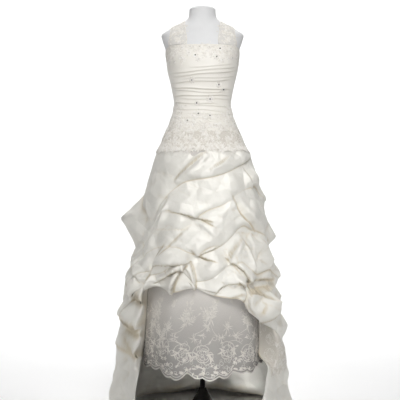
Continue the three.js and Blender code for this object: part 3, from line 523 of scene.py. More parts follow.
def underskirt_point(angle, z, inset=0.0):
    free = 1 - smooth(z, *[UNDERSKIRT_TOP - down for down in SEWN])
    grown = 1 - smooth(z, UNDERSKIRT_HEM, FLUTE_TOP)
    flute = UNDERSKIRT_FLUTE * grown * np.sin(np.radians(UNDERSKIRT_FLUTES * angle)) - inset
    sewn = skirt_section(z, flute - NET - LAID_GAP)
    hung = under_section(z, flute)
    return section_point([mix(a, b, free) for a, b in zip(sewn, hung)], angle, z, skirt_roundness(z))


def hem_lift(angle):
    """How much higher the underskirt's hem hangs at the sides."""
    return HEM_LIFT * np.sin(np.radians(angle)) ** 2


def hem_height(angle):
    around = SCALLOPS * ((angle + 90) / 180) * np.pi
    dips = sum(drop * bell(turned(angle - at), wide) for at, drop, wide in rows_of(HEM_DIPS))
    return UNDERSKIRT_HEM + hem_lift(angle) - dips + SCALLOP * (0.5 - np.abs(np.sin(around)))


# Meshes

def make(name, points, faces, uv=None):
    """A smooth mesh object from points in millimetres."""
    mesh = bpy.data.meshes.new(name)
    mesh.from_pydata((np.asarray(points) * MM).tolist(), [], [list(map(int, f)) for f in faces])
    mesh.validate()
    mesh.polygons.foreach_set("use_smooth", np.ones(len(mesh.polygons), bool))
    if uv is not None:
        layer = mesh.uv_layers.new(name="UVMap")
        corner = np.empty(len(mesh.loops), int)
        mesh.loops.foreach_get("vertex_index", corner)
        layer.data.foreach_set("uv", np.asarray(uv, float)[corner].ravel())
    obj = bpy.data.objects.new(name, mesh)
    bpy.context.scene.collection.objects.link(obj)
    return obj


def grid_faces(rows, columns, closed=False):
    """Quads of a grid whose second index runs towards +X on the front and whose first runs down."""
    r = np.arange(rows - 1)[:, None]
    c = np.arange(columns if closed else columns - 1)[None]
    right = (c + 1) % columns
    quads = [r * columns + c, (r + 1) * columns + c, (r + 1) * columns + right, r * columns + right]
    return np.stack(np.broadcast_arrays(*quads), -1).reshape(-1, 4)


def grid_uv(points):
    """Lengths along the cloth, in metres, across and down a grid."""
    across = np.linalg.norm(np.diff(points, axis=1), axis=2).mean(0)
    down = np.linalg.norm(np.diff(points, axis=0), axis=2).mean(1)
    u = np.concatenate([[0], np.cumsum(across)]) * MM
    v = -np.concatenate([[0], np.cumsum(down)]) * MM
    return np.stack(np.meshgrid(u, v), -1).reshape(-1, 2)


def make_grid(name, points, closed=False):
    rows, columns = points.shape[:2]
    return make(name, points.reshape(-1, 3), grid_faces(rows, columns, closed), grid_uv(points))


def finish_piece(obj, material, slot, *nodes):
    obj.data.materials.append(material)
    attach(obj, "root")
    if nodes:
        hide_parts(*nodes)


def finish_cloth(obj, thickness, material, slot, *nodes, offset=1.0):
    """Gives a sheet its cloth's thickness, outwards or with an offset of -1 inwards, and its finish."""
    solid = obj.modifiers.new("Thickness", "SOLIDIFY")
    solid.thickness = thickness * MM
    solid.offset = offset
    finish_piece(obj, material, slot, *nodes)


def outward(surface, a, b, steps):
    """Normals of a surface whose first coordinate runs towards +X on the front and second runs up."""
    step_a, step_b = steps
    along = surface(a + step_a, b) - surface(a - step_a, b)
    up = surface(a, b + step_b) - surface(a, b - step_b)
    normal = np.cross(along, up)
    return normal / np.maximum(1e-9, np.linalg.norm(normal, axis=-1, keepdims=True))


def raised(surface, a, b, lift, steps):
    """Points at a distance from a surface."""
    return surface(a, b) + outward(surface, a, b, steps) * lift


# Materials: scales are for a metre

class Nodes:
    """A material's node tree, with short calls for the nodes used here."""

    def __init__(self, name, roughness, specular=0.5, metallic=0.0):
        self.material = bpy.data.materials.new(name)
        self.material.use_nodes = True
        self.tree = self.material.node_tree
        self.shader = self.tree.nodes["Principled BSDF"]
        self.set("Roughness", roughness)
        self.set("Specular IOR Level", specular)
        self.set("Metallic", metallic)
        self.coords = self.tree.nodes.new("ShaderNodeTexCoord")

    def set(self, name, value):
        self.shader.inputs[name].default_value = value

    def link(self, a, b):
        self.tree.links.new(a, b)

    def node(self, kind, inputs=None, **settings):
        n = self.tree.nodes.new(kind)
        for key, value in settings.items():
            setattr(n, key, value)
        for key, value in (inputs or {}).items():
            if isinstance(value, bpy.types.NodeSocket):
                self.link(value, n.inputs[key])
            else:
                n.inputs[key].default_value = value
        return n

    def noise(self, scale, detail, space="Object", stretch=None):
        vector = self.coords.outputs[space]
        if stretch:
            vector = self.node("ShaderNodeMapping", {"Vector": vector, "Scale": stretch}).outputs[0]
        inputs = {"Vector": vector, "Scale": scale, "Detail": detail}
        return self.node("ShaderNodeTexNoise", inputs).outputs[0]

    def wave(self, scale, direction):
        inputs = {"Vector": self.coords.outputs["UV"], "Scale": scale, "Distortion": 0.4, "Detail": 1.0}
        return self.node("ShaderNodeTexWave", inputs, bands_direction=direction).outputs["Fac"]

    def cell_edges(self, vector, scale, randomness=1.0):
        """Distance to the edges of uneven cells, which lies in flat slopes."""
        inputs = {"Vector": vector, "Scale": scale, "Randomness": randomness}
        return self.node("ShaderNodeTexVoronoi", inputs, feature="DISTANCE_TO_EDGE").outputs[0]

    def facets(self, scale):
        """Flat slopes between bent edges."""
        place = self.coords.outputs["Object"]
        bent = self.node("ShaderNodeTexNoise", {"Vector": place, "Scale": scale * CRUMPLE_BEND["scale"]})
        inputs = {0: bent.outputs["Color"], 1: (CRUMPLE_BEND["move"],) * 3}
        moved = self.node("ShaderNodeVectorMath", inputs, operation="MULTIPLY").outputs[0]
        return self.cell_edges(self.node("ShaderNodeVectorMath", {0: moved, 1: place}).outputs[0], scale)

    def math(self, operation, a, b):
        return self.node("ShaderNodeMath", {0: a, 1: b}, operation=operation).outputs[0]

    def ramp(self, fac, *stops):
        n = self.node("ShaderNodeValToRGB", {"Fac": fac})
        for element, (position, colour) in zip(n.color_ramp.elements, stops):
            element.position = position
            element.color = (*colour, 1)
        return n.outputs["Color"]

    def blend(self, fac, a, b, mode="MIX"):
        b = b if isinstance(b, bpy.types.NodeSocket) else (*b, 1)
        return self.node("ShaderNodeMix", {0: fac, 6: a, 7: b}, data_type="RGBA", blend_type=mode).outputs[2]

    def colour(self, socket):
        self.link(socket, self.shader.inputs["Base Color"])

    def patches(self, scale, detail, dark, light, low=0.3, high=0.7):
        """A colour that varies softly between two."""
        return self.ramp(self.noise(scale, detail), (low, dark), (high, light))

    def rough(self, fac, low, high):
        n = self.node("ShaderNodeMapRange", {"Value": fac, "To Min": low, "To Max": high})
        self.link(n.outputs[0], self.shader.inputs["Roughness"])

    def bump(self, height, strength, distance):
        inputs = {"Height": height, "Strength": strength, "Distance": distance}
        self.link(self.node("ShaderNodeBump", inputs).outputs[0], self.shader.inputs["Normal"])


THREADS = 1500.0
WEFT = 0.8  # weft threads for each warp thread
SLUBS = {"scale": 700.0, "stretch": (1.0, 0.06, 1.0)}
WEAVE_DEPTH = 0.00004
CRUMPLES = ((6.0, 1.0), (13.0, 0.6))  # facets of a crumpled cloth: scale and share
CRUMPLE_BEND = {"scale": 0.6, "move": 0.03}
NET_CELLS = {"scale": 520.0, "randomness": 0.35, "thread": 0.02, "gap": 0.16}
NET_SHADE_HEIGHTS = (0.2, 0.5)  # heights in metres between which a net darkens downwards: painted light and shade


def woven(name, light, dark, crease_shade, roughness, sheen, crease=0.0, silk=0.0, crumple=0.0):
    """A woven ivory cloth: fine threads, soft uneven colour and, where asked, a warm painted shade in the
    hollows of its creases.
    """
    n = Nodes(name, roughness, metallic=silk)
    n.set("Sheen Weight", sheen)
    n.set("Sheen Roughness", 0.4)
    colour = n.patches(9.0, 4.0, dark, light)
    if crease:
        # painted shade: the sheet's sharp valleys take a warm, darker colour where shade falls in its creases
        crease_shade_mask = n.node("ShaderNodeAttribute", attribute_name="crease").outputs["Fac"]
        colour = n.blend(n.math("MULTIPLY", crease_shade_mask, crease), colour, crease_shade)
    n.colour(colour)
    n.rough(n.noise(60.0, 2.0), roughness - 0.06, roughness + 0.08)
    weave = n.math("ADD", n.wave(THREADS, "X"), n.wave(THREADS * WEFT, "Y"))
    slubs = n.noise(SLUBS["scale"], 2.0, "UV", SLUBS["stretch"])
    relief = n.math("MULTIPLY", n.math("ADD", weave, slubs), WEAVE_DEPTH)
    if crumple:
        for scale, share in CRUMPLES:
            relief = n.math("ADD", relief, n.math("MULTIPLY", n.facets(scale), crumple * share / scale))
    n.bump(relief, 1.0, 1.0)
    return n.material


def embroidered(name, light, dark):
    """Raised thread: matt, with fine stitches."""
    n = Nodes(name, 0.62, 0.35)
    n.set("Sheen Weight", 0.25)
    n.colour(n.patches(120.0, 3.0, dark, light, high=0.75))
    n.bump(n.noise(1400.0, 2.0, "Object", (1.0, 1.0, 0.25)), 0.35, 0.0004)
    return n.material


def mix_colour(a, b, t):
    return tuple(mix(x, y, t) for x, y in zip(a, b))


def netting(name, light, dark, alpha, fade=0.0):
    """Fine net: a mesh of uneven cells drawn in colour and relief, a little see-through, and where asked with
    painted light and shade, lighter high up and darker downwards.
    """
    n = Nodes(name, 0.7, 0.3)
    cells = n.cell_edges(n.coords.outputs["UV"], NET_CELLS["scale"], NET_CELLS["randomness"])
    threads = n.ramp(cells, (NET_CELLS["thread"], light), (NET_CELLS["gap"], dark))
    colour = n.blend(n.noise(7.0, 3.0), threads, mix_colour(light, dark, 0.45))
    if fade:
        # painted light and shade: the net's colour is lighter high up and darker towards its hem, as light
        # falls off towards the floor
        height = n.node("ShaderNodeSeparateXYZ", {0: n.coords.outputs["Object"]}).outputs[2]
        low, high = NET_SHADE_HEIGHTS
        share = n.node("ShaderNodeMapRange", {"Value": height, "From Min": low, "From Max": high}).outputs[0]
        colour = n.blend(1.0, colour, n.ramp(share, (0.0, (1 - fade,) * 3), (1.0, (1, 1, 1))), "MULTIPLY")
    n.colour(colour)
    n.bump(n.math("MULTIPLY", cells, -1.0), 0.25, 0.0004)
    n.set("Alpha", alpha)
    return n.material


def smooth_cover(name, light, dark, roughness):
    """A smooth stretched cover with faint unevenness."""
    n = Nodes(name, roughness)
    n.colour(n.patches(14.0, 4.0, dark, light))
    n.rough(n.noise(40.0, 3.0), roughness - 0.08, roughness + 0.1)
    n.bump(n.noise(900.0, 2.0), 0.06, 0.0003)
    return n.material


def dark_metal(name, light, dark):
    n = Nodes(name, 0.38, metallic=0.7)
    n.colour(n.patches(30.0, 4.0, dark, light, 0.35, 0.8))
    n.rough(n.noise(80.0, 3.0), 0.28, 0.5)
    n.bump(n.noise(600.0, 2.0), 0.08, 0.0003)
    return n.material


def pearl(name, colour, roughness):
    n = Nodes(name, roughness, 0.8)
    n.set("Coat Weight", 0.4)
    n.colour(n.patches(400.0, 2.0, mix_colour(colour, (0, 0, 0), 0.2), colour))
    return n.material


# The third colour of the taffeta and of the satin is the warm painted shade of their creases.
IVORY_TAFFETA = woven("ivory_taffeta", (0.88, 0.86, 0.80), (0.83, 0.81, 0.75), (0.62, 0.53, 0.37), 0.43, 0.0,
                      crease=0.8, silk=0.14, crumple=0.16)
IVORY_SATIN = woven("ivory_satin", (0.90, 0.87, 0.81), (0.85, 0.82, 0.75), (0.58, 0.49, 0.36), 0.42, 0.1,
                    crease=0.7)
IVORY_LACE = embroidered("ivory_lace", (0.96, 0.94, 0.90), (0.74, 0.70, 0.63))
# The lace band's net is drawn darker than the satin: its own ivory, darkened as painted shade in the gaps
# between the raised lace on it.
LACE_NET = netting("lace_net", (0.78, 0.74, 0.67), (0.62, 0.58, 0.52), 1.0)
STRAP_NET = netting("strap_net", (0.92, 0.90, 0.86), (0.82, 0.79, 0.74), 0.85)
# the underskirt's net carries painted light and shade, lighter high up and darker towards the hem
SKIRT_NET = netting("embroidered_net", (0.89, 0.85, 0.80), (0.63, 0.60, 0.565), 0.85, 0.54)
TRAIN_NET = netting("train_net", (0.86, 0.82, 0.74), (0.72, 0.68, 0.61), 0.9)
THREAD = embroidered("embroidery_thread", (0.76, 0.73, 0.68), (0.60, 0.57, 0.52))
# The lining is a dark grey: painted shade, for the shade inside the underskirt seen through its net.
SHADED_LINING = woven("plain_lining", (0.44, 0.42, 0.39), (0.38, 0.36, 0.33), (0.3, 0.28, 0.24), 0.6, 0.1)
FORM_COVER = smooth_cover("form_cover", (0.82, 0.82, 0.82), (0.76, 0.76, 0.76), 0.55)
DARK_METAL = dark_metal("dark_metal", (0.045, 0.04, 0.037), (0.012, 0.011, 0.010))
PEARL = pearl("pearl", (0.85, 0.82, 0.76), 0.2)
STONE = pearl("stone", (0.10, 0.095, 0.09), 0.12)


# Dress form and stand

FORM_SIDES = 120
FORM_ROWS = 60  # on the shoulders, and again on the body
SHOULDER_END = 1480.0
NECK_CAP = {"height": 14.0, "section": (50.0, 47.0, 47.5)}
NECK_DOME = table("share rise", [
    (0.001, 1.0), (0.3, 0.97), (0.6, 0.84), (0.85, 0.6), (0.97, 0.35), (1.02, 0.03),
])
FORM_BASE = (0.97, 0.5, 0.001)  # rings of the flat underside, as shares of the lowest section
AXIS = 0.01  # radius that stands for a turned piece's axis
POLE_RADIUS = 10.0
POLE_ENDS = (118.0, FORM_BOTTOM - 0.4)
POLE_SIDES = 40
FOOT_RIM = [(AXIS, 0.0), (186, 0.0), (189, 2), (190, 5), (190, 8)]
FOOT_FLARE = [(190, 10), (125.4, 18), (56, 52), (30, 88), (14, 120)]
FOOT_TOP = 120.0
FOOT_ROWS = 28
FOOT_SIDES = 96


def lathe(name, profile, sides):
    """A turned solid from pairs of radius and height, bottom to top."""
    angle = np.arange(sides) * 360 / sides
    radius, z = np.array(profile[::-1], float).T
    points = section_point([radius[:, None]] * 3, angle[None], z[:, None])
    return make_grid(name, points, True)


def make_form():
    shoulders = np.linspace(NECK_TOP, SHOULDER_END, FORM_ROWS)
    z = np.concatenate([shoulders, np.linspace(SHOULDER_END - 2, FORM_BOTTOM, FORM_ROWS)])
    angle = np.arange(FORM_SIDES) * 360 / FORM_SIDES
    dome = [section_point([share * size for size in NECK_CAP["section"]], angle,
                          NECK_TOP + NECK_CAP["height"] * rise)
            for share, rise in rows_of(NECK_DOME)]
    base = [section_point([share * size for size in form_section(FORM_BOTTOM)], angle, FORM_BOTTOM)
            for share in FORM_BASE]
    points = np.concatenate([np.stack(dome), body_point(angle[None], z[:, None]), np.stack(base)])
    form = make_grid("dress_form", points, True)
    finish_piece(form, FORM_COVER, "form_cover", "form_torso", "form_neck_cap")


def make_stand():
    low, high = POLE_ENDS
    pole = lathe("pole", [(AXIS, low), (POLE_RADIUS, low), (POLE_RADIUS, high), (AXIS, high)], POLE_SIDES)
    finish_piece(pole, DARK_METAL, "dark_metal", "stand_pole")
    foot = lathe("foot", [*FOOT_RIM, *spline(FOOT_FLARE, FOOT_ROWS), (AXIS, FOOT_TOP)], FOOT_SIDES)
    finish_piece(foot, DARK_METAL, "dark_metal", "stand_foot")


# Bodice

RUCHES = table("angle0 z0 z1 angle2 z2 rise", [
    (-24, 1370, 1372, 58, 1394, 2.6), (-76, 1350, 1356, 78, 1386, 3.4), (-82, 1336, 1343, 82, 1370, 3.8),
    (-44, 1328, 1330, 84, 1348, 2.4), (-84, 1318, 1316, 72, 1330, 3.4), (-84, 1306, 1288, 84, 1294, 4.4),
    (-72, 1294, 1277, 62, 1277, 3.2), (-84, 1268, 1263, 84, 1270, 3.8), (-60, 1254, 1250, 84, 1256, 2.6),
    (-84, 1242, 1234, 40, 1232, 3.4), (-30, 1230, 1223, 84, 1230, 2.6), (-72, 1216, 1208, 66, 1200, 3.0),
    (-40, 1196, 1192, 84, 1196, 2.2), (-84, 1184, 1178, 36, 1172, 2.2),
])
RUCHE_ABOVE = 11.0  # how far a fold's rise spreads above its edge
RUCHE_EDGE = 1.3
RUCHE_REACH = 84.0
RUCHE_END = 8.0  # degrees over which the folds fade out at the side seams
RUCHE_TIP = 0.25  # share of a fold that tapers at each end
RUCHE_WAVE = {"rise": 1.4, "count": 5.3, "shift": 40}
BODICE_SEAM = 0.06  # half the gap at a seam, in degrees
BODICE_PANELS = [  # piece, node, from and to angle, columns and rows
    ("bodice_front_satin", "bodice_front", -SIDE_SEAM, SIDE_SEAM, 120, 250),
    ("bodice_back_right_satin", "bodice_back_right", SIDE_SEAM, 180, 60, 50),
    ("bodice_back_left_satin", "bodice_back_left", -180, -SIDE_SEAM, 60, 50),
]
SATIN_CREASE_SHADE = 7.0  # how strongly a hollow takes the warm painted shade of creases
TAFFETA_CREASE_SHADE = 8.0
CREASE_SHADE_SPREADS = 2
SHADE_SHALLOW = 0.03  # hollows no sharper than this get no painted shade and keep the cloth's colour


def ruche_relief(angle, z):
    """Thin folds across the front, each rising slowly down to a crisp lower edge."""
    reach = 1 - smooth(np.abs(angle), RUCHE_REACH - RUCHE_END, RUCHE_REACH)
    relief = np.zeros(np.broadcast(angle, z).shape)
    for i, (a0, z0, z1, a2, z2, rise) in enumerate(rows_of(RUCHES)):
        t = (angle - a0) / (a2 - a0)
        wave = RUCHE_WAVE["rise"] * np.sin(np.radians(angle * RUCHE_WAVE["count"] + RUCHE_WAVE["shift"] * i))
        above = z - bow(t, z0, z1, z2) - wave
        ends = smooth(t, 0, RUCHE_TIP) * (1 - smooth(t, 1 - RUCHE_TIP, 1))
        edge = 0.5 + 0.5 * np.tanh(above / RUCHE_EDGE)
        relief += rise * ends * edge * np.exp(-np.maximum(0, above) / RUCHE_ABOVE)
    return reach * relief


def bodice_surface(angle, z):
    relief = np.where(np.abs(turned(angle)) < SIDE_SEAM, ruche_relief(turned(angle), z), 0)
    return body_point(angle, z, ease(z) + SATIN + relief)


def paint_crease_shade(obj, gain):
    """Marks the sharp valleys of a sheet, for the warm painted shade of its creases."""
    mesh = obj.data
    count = len(mesh.vertices)
    points, normal = np.empty((2, count * 3))
    mesh.vertices.foreach_get("co", points)
    mesh.vertices.foreach_get("normal", normal)
    points, normal = points.reshape(-1, 3), normal.reshape(-1, 3)
    edges = np.empty(len(mesh.edges) * 2, int)
    mesh.edges.foreach_get("vertices", edges)
    a, b = edges.reshape(-1, 2).T
    degree = np.maximum(1, np.bincount(a, minlength=count) + np.bincount(b, minlength=count))

    def spread(values):
        total = np.zeros_like(values)
        np.add.at(total, a, values[b])
        np.add.at(total, b, values[a])
        return total / degree.reshape(-1, *[1] * (values.ndim - 1))

    length = np.linalg.norm(points[a] - points[b], axis=1)
    length = (np.bincount(a, length, count) + np.bincount(b, length, count)) / degree
    hollow = np.maximum(0, (((spread(points) - points) * normal).sum(1) / length - SHADE_SHALLOW) * gain)
    for _ in range(CREASE_SHADE_SPREADS):
        hollow = mix(hollow, spread(hollow), 0.5)
    # painted shade: how deep each point lies in a hollow, read by the cloth's colour
    layer = mesh.attributes.new("crease", "FLOAT", "POINT")
    layer.data.foreach_set("value", np.clip(hollow, 0, 1))


def make_bodice():
    for name, node, start, end, columns, rows in BODICE_PANELS:
        angle = np.linspace(start + BODICE_SEAM, end - BODICE_SEAM, columns)[None]
        z = mix(bodice_top(np.abs(turned(angle))), HIP_SEAM, np.linspace(0, 1, rows)[:, None])
        panel = make_grid(name, bodice_surface(angle, z))
        paint_crease_shade(panel, SATIN_CREASE_SHADE)
        finish_cloth(panel, SATIN, IVORY_SATIN, "ivory_satin", node, offset=-1.0)


# Overskirt

LEFT_EDGE = (-40.0, -46.0)  # angles of a panel's free edge, under the last tuck and on the floor
RIGHT_EDGE = (52.0, 36.0)
EDGE_OPENS = 0.04  # folds under the last tuck over which an edge comes free
EDGE_TURNS = 0.2  # folds under the last tuck where it starts on its way to the floor
FRONT_COLUMNS = 216
FIRST_ROWS = 36
FIRST_POWER = 0.85  # rows lie closer at the hip seam
SWAG_GRID = 40
TRAIN_ROWS = 46
TRAIN_COLUMNS = {"right": 40, "back": 66, "left": 44}
TURN_IN = 9.0  # degrees of a free edge that turn in
TURN_BACK = {-1: 28.0, 1: 20.0}
TURN_LOW = (200, 270)  # heights between which an edge starts to turn in
TURN_GAP = 2.0  # between the turned edge and the underskirt
HIDDEN = {"up": 60.0, "in": 0.06, "folds": 0.16, "clear": 4, "seam": 1}  # the edge tucked up behind the front
WEAVE_ACROSS = 0.0042  # metres of cloth for a degree, near enough for its weave
WEAVE_DOWN = 0.2  # metres of cloth for a fold


def edge_angle(seam, edge, fold):
    free, floor = edge
    opened = mix(seam, free, smooth(fold, SWAG_ROWS, SWAG_ROWS + EDGE_OPENS))
    return mix(opened, floor, smooth(fold, SWAG_ROWS + EDGE_TURNS, SWAG_ROWS + 1))


def overskirt_rows():
    """Folds of the overskirt's rows from the hip seam to the last tuck."""
    first = np.linspace(0, 1, FIRST_ROWS, False) ** FIRST_POWER
    others = [row + np.linspace(0, 1, SWAG_GRID, False) for row in range(1, SWAG_ROWS)]
    return np.concatenate([first, *others, [SWAG_ROWS]])


def train_grid():
    """Angles and folds of the side and back panels, which open past the front seams under the last tuck."""
    right, left = FRONT_SEAM, 360 - FRONT_SEAM
    back_right, back_left = BACK_SEAM, 360 - BACK_SEAM
    side = np.concatenate([
        np.linspace(right, back_right, TRAIN_COLUMNS["right"], False),
        np.linspace(back_right, back_left, TRAIN_COLUMNS["back"], False),
        np.linspace(back_left, left, TRAIN_COLUMNS["left"]),
    ])[None]
    folds = np.concatenate([overskirt_rows(), SWAG_ROWS + np.linspace(0, 1, TRAIN_ROWS)[1:]])[:, None]
    start = edge_angle(right, RIGHT_EDGE, folds)
    end = edge_angle(left, [360 + a for a in LEFT_EDGE], folds)
    angle = np.where(side < back_right, mix(start, back_right, (side - right) / (back_right - right)), side)
    angle = np.where(side > back_left, mix(back_left, end, (side - back_left) / (left - back_left)), angle)
    return np.broadcast_arrays(angle, folds)


def turn_in(points, angle, fold, edge, side):
    """Tucks a panel's free edge up behind the front, and turns it in to lie on the underskirt."""
    at = side * angle
    free = side * edge[0]
    hidden = 1 - smooth(at, free + HIDDEN["clear"], FRONT_SEAM - HIDDEN["seam"])
    hidden = hidden * (at > 0) * (fold > SWAG_ROWS)
    hidden = hidden * (1 - smooth(fold, SWAG_ROWS, SWAG_ROWS + HIDDEN["folds"]))
    points = points.copy()
    points[..., 2] += HIDDEN["up"] * hidden
    points[..., :2] *= (1 - HIDDEN["in"] * hidden)[..., None]
    z = points[..., 2]
    turned_in = (1 - smooth(at, free, free + TURN_IN)) * (at > 0) * smooth(z, *TURN_LOW)
    turned_in = turned_in * smooth(fold, SWAG_ROWS, SWAG_ROWS + EDGE_OPENS)
    new_angle = angle + side * TURN_BACK[side] * turned_in
    stand = [section_point(skirt_section(z), a, z)[..., :2] for a in (angle, new_angle)]
    out = np.linalg.norm(points[..., :2], axis=-1) / np.linalg.norm(stand[0], axis=-1)
    under = underskirt_point(new_angle, z, -NET - TURN_GAP)[..., :2]
    share = turned_in[..., None]
    points[..., :2] = np.where(share > 0, mix(stand[1] * out[..., None], under, share), points[..., :2])
    return points


def taffeta_piece(name, angle, fold, points, *nodes):
    uv = np.stack([angle.ravel() * WEAVE_ACROSS, -WEAVE_DOWN * fold.ravel()], -1)
    obj = make(name, points.reshape(-1, 3), grid_faces(*angle.shape), uv)
    paint_crease_shade(obj, TAFFETA_CREASE_SHADE)
    finish_cloth(obj, TAFFETA, IVORY_TAFFETA, "ivory_taffeta", *nodes)


def make_overskirt():
    columns = np.linspace(-FRONT_SEAM, FRONT_SEAM, FRONT_COLUMNS)
    angle, fold = np.broadcast_arrays(columns[None], overskirt_rows()[:, None])
    taffeta_piece("overskirt_front_taffeta", angle, fold, overskirt_point(angle, fold), "overskirt_front")
    angle, fold = train_grid()
    points = overskirt_point(angle, fold)
    points = turn_in(points, turned(angle), fold, LEFT_EDGE, -1)
    points = turn_in(points, turned(angle), fold, RIGHT_EDGE, 1)
    taffeta_piece("overskirt_train_taffeta", angle, fold, points, "overskirt_left", "overskirt_right",
                  "overskirt_back_left", "overskirt_back_right")


# Underskirt

UNDERSKIRT_COLUMNS = 288
NET_ROWS = 60
LINING_ROWS = 30
LINING_INSET = 9.0  # between the net and the hanging lining
LINING_JOIN = 150.0  # height over which the lining comes up to the net


def make_underskirt():
    angle = np.arange(UNDERSKIRT_COLUMNS)[None] * 360 / UNDERSKIRT_COLUMNS
    z = mix(UNDERSKIRT_TOP, hem_height(angle), np.linspace(0, 1, NET_ROWS)[:, None])
    net = make_grid("underskirt_net", underskirt_point(angle, z), True)
    finish_cloth(net, NET, SKIRT_NET, "embroidered_net", "underskirt_front", "underskirt_back")
    z = mix(LINING_TOP, LINING_HEM + hem_lift(angle), np.linspace(0, 1, LINING_ROWS)[:, None])
    inset = LINING + mix(LINING_INSET, LINING_GAP, smooth(z, LINING_TOP - LINING_JOIN, LINING_TOP))
    lining = make_grid("underskirt_lining", underskirt_point(angle, z, inset), True)
    nodes = "underskirt_lining_front", "underskirt_lining_back"
    finish_cloth(lining, LINING, SHADED_LINING, "plain_lining", *nodes)


# Straps and lace band

STRAP = table("along inner outer", [(0, 60, 130), (0.5, 72, 116), (1, 58, 108)])
STRAP_SCALLOP = 2.5
STRAP_SCALLOPS = 7
STRAP_ENDS = (50.0, 130.0)  # angles where the straps meet the bodice's top, in front and behind
STRAP_SEAM = 0.3
STRAP_POWER = 0.9  # how steeply a strap climbs from its ends
STRAP_GRID = (18, 120)
STRAP_STEPS = (1e-3, 1e-3)
SIDES = ((1, "right"), (-1, "left"))
BAND_TOP = 1122.0
BAND_BOTTOM = 1056.0
BAND_LEAF = 15.0
BAND_LEAVES = 9  # on half the band
BAND_WAVE = {"rise": 5, "shift": 1}
BAND_DIP = {"share": 0.5, "power": 0.7}
BAND_GRID = (432, 26)
BAND_STEPS = (0.2, 1.0)
HALVINGS = 30

strap_inner = curve(STRAP["along"], STRAP["inner"])
strap_outer = curve(STRAP["along"], STRAP["outer"])


def shoulder_height(x):
    """Where the top of the shoulders is this far from the middle."""
    low = np.full(np.shape(x), SHOULDER)
    high = np.full(np.shape(x), NECK_TOP)
    for _ in range(HALVINGS):
        middle = (low + high) / 2
        wide = form_section(middle)[0] > x
        low = np.where(wide, middle, low)
        high = np.where(wide, high, middle)
    return low


def strap_point(across, along):
    scallop = STRAP_SCALLOP * np.abs(np.sin(np.pi * STRAP_SCALLOPS * along))
    x = mix(strap_inner(along) - scallop, strap_outer(along) + scallop, across)
    is_front = along < 0.5
    end = np.where(is_front, *[bodice_top(angle) for angle in STRAP_ENDS]) + STRAP_SEAM
    rise = np.sin(np.pi * along)
    z = mix(end, shoulder_height(x), np.sign(rise) * np.abs(rise) ** STRAP_POWER)
    half, front, back = form_section(z)
    share = np.maximum(0, 1 - (x / half) ** FORM_ROUNDNESS) ** (1 / FORM_ROUNDNESS)
    return np.stack(np.broadcast_arrays(x, np.where(is_front, -front, back) * share, z), -1)


def make_straps():
    columns, rows = STRAP_GRID
    across = np.linspace(0, 1, columns)[None]
    along = np.linspace(0.001, 0.999, rows)[:, None]
    normal = outward(strap_point, across, np.clip(along, 0.01, 0.99), STRAP_STEPS)
    points = (strap_point(across, along) + normal * STRAP_GAP)[::-1]
    for side, name in SIDES:
        net = make_grid(f"strap_{name}_net", points[:, ::side] * np.array([side, 1, 1]))
        finish_cloth(net, LACE, STRAP_NET, "ivory_lace", f"strap_{name}")


def band_surface(angle, z):
    share = np.clip((OVERSKIRT_TOP - z) / (OVERSKIRT_TOP - tucks[0](angle)), 0, 1)
    below = overskirt_point(angle, share)
    above = body_point(angle, np.maximum(z, HIP_SEAM), ease(z))
    return np.where(np.broadcast_to(z >= HIP_SEAM, below.shape[:-1])[..., None], above, below)


def make_band():
    columns, rows = BAND_GRID
    angle = np.arange(columns)[None] * 360 / columns
    around = BAND_LEAVES * ((angle + 90) / 180) * np.pi
    bottom = BAND_BOTTOM - BAND_DIP["share"] * BAND_LEAF * np.abs(np.sin(around)) ** BAND_DIP["power"]
    top = BAND_TOP + BAND_WAVE["rise"] * np.sin(2 * around + BAND_WAVE["shift"])
    z = mix(top, bottom, np.linspace(0, 1, rows)[:, None])
    band = make_grid("lace_band_net", raised(band_surface, angle, z, SATIN + BAND_GAP, BAND_STEPS), True)
    finish_cloth(band, LACE, LACE_NET, "ivory_lace", "lace_band_front", "lace_band_back")


# Shapes of lace and embroidery: flat, in millimetres, u to the right, v up and h out of the cloth

RIM = -0.3  # height of a shape's edge


def blade(path, half_width, ridge):
    """A narrow raised shape along a path, highest along its middle."""
    path = np.asarray(path, float)
    along = np.gradient(path, axis=0)
    along /= np.maximum(1e-9, np.linalg.norm(along, axis=1, keepdims=True))
    side = np.stack([along[:, 1], -along[:, 0]], -1) * np.reshape(half_width, (-1, 1))
    count = len(path)
    points = np.empty((count, 3, 3))
    for column, (offset, height) in enumerate(((side, RIM), (0, ridge), (-side, RIM))):
        points[:, column, :2] = path + offset
        points[:, column, 2] = height
    return points.reshape(-1, 3), grid_faces(count, 3)


def stem(length, bend, steps):
    """A path that starts upwards and bends to the right."""
    t = np.linspace(0, 1, steps + 1)
    return np.stack([bend * length * t ** 2, length * t], -1)


def petal(length, width, ridge, steps=6, bend=0.0):
    t = np.clip(np.linspace(0, 1, steps + 1), 0.02, 0.98)
    return blade(stem(length, bend, steps), width / 2 * np.sin(np.pi * t ** 0.75) ** 0.8, ridge)


def cord(path, width, ridge):
    """A corded line with pointed ends."""
    count = len(path)
    ends = np.minimum(np.arange(count), np.arange(count)[::-1])
    return blade(path, width / 2 * np.clip(0.3 + 0.35 * ends, 0, 1), ridge)


def polar(radius, turn):
    """Places at a distance from a shape's middle, turned to the right from up."""
    turn = np.radians(turn)
    return np.stack([radius * np.sin(turn), radius * np.cos(turn)], -1)


def arc(radius, end, steps, shrink=0.0):
    t = np.linspace(0, 1, steps + 1)
    return polar(radius * (1 - shrink * t), end * t)


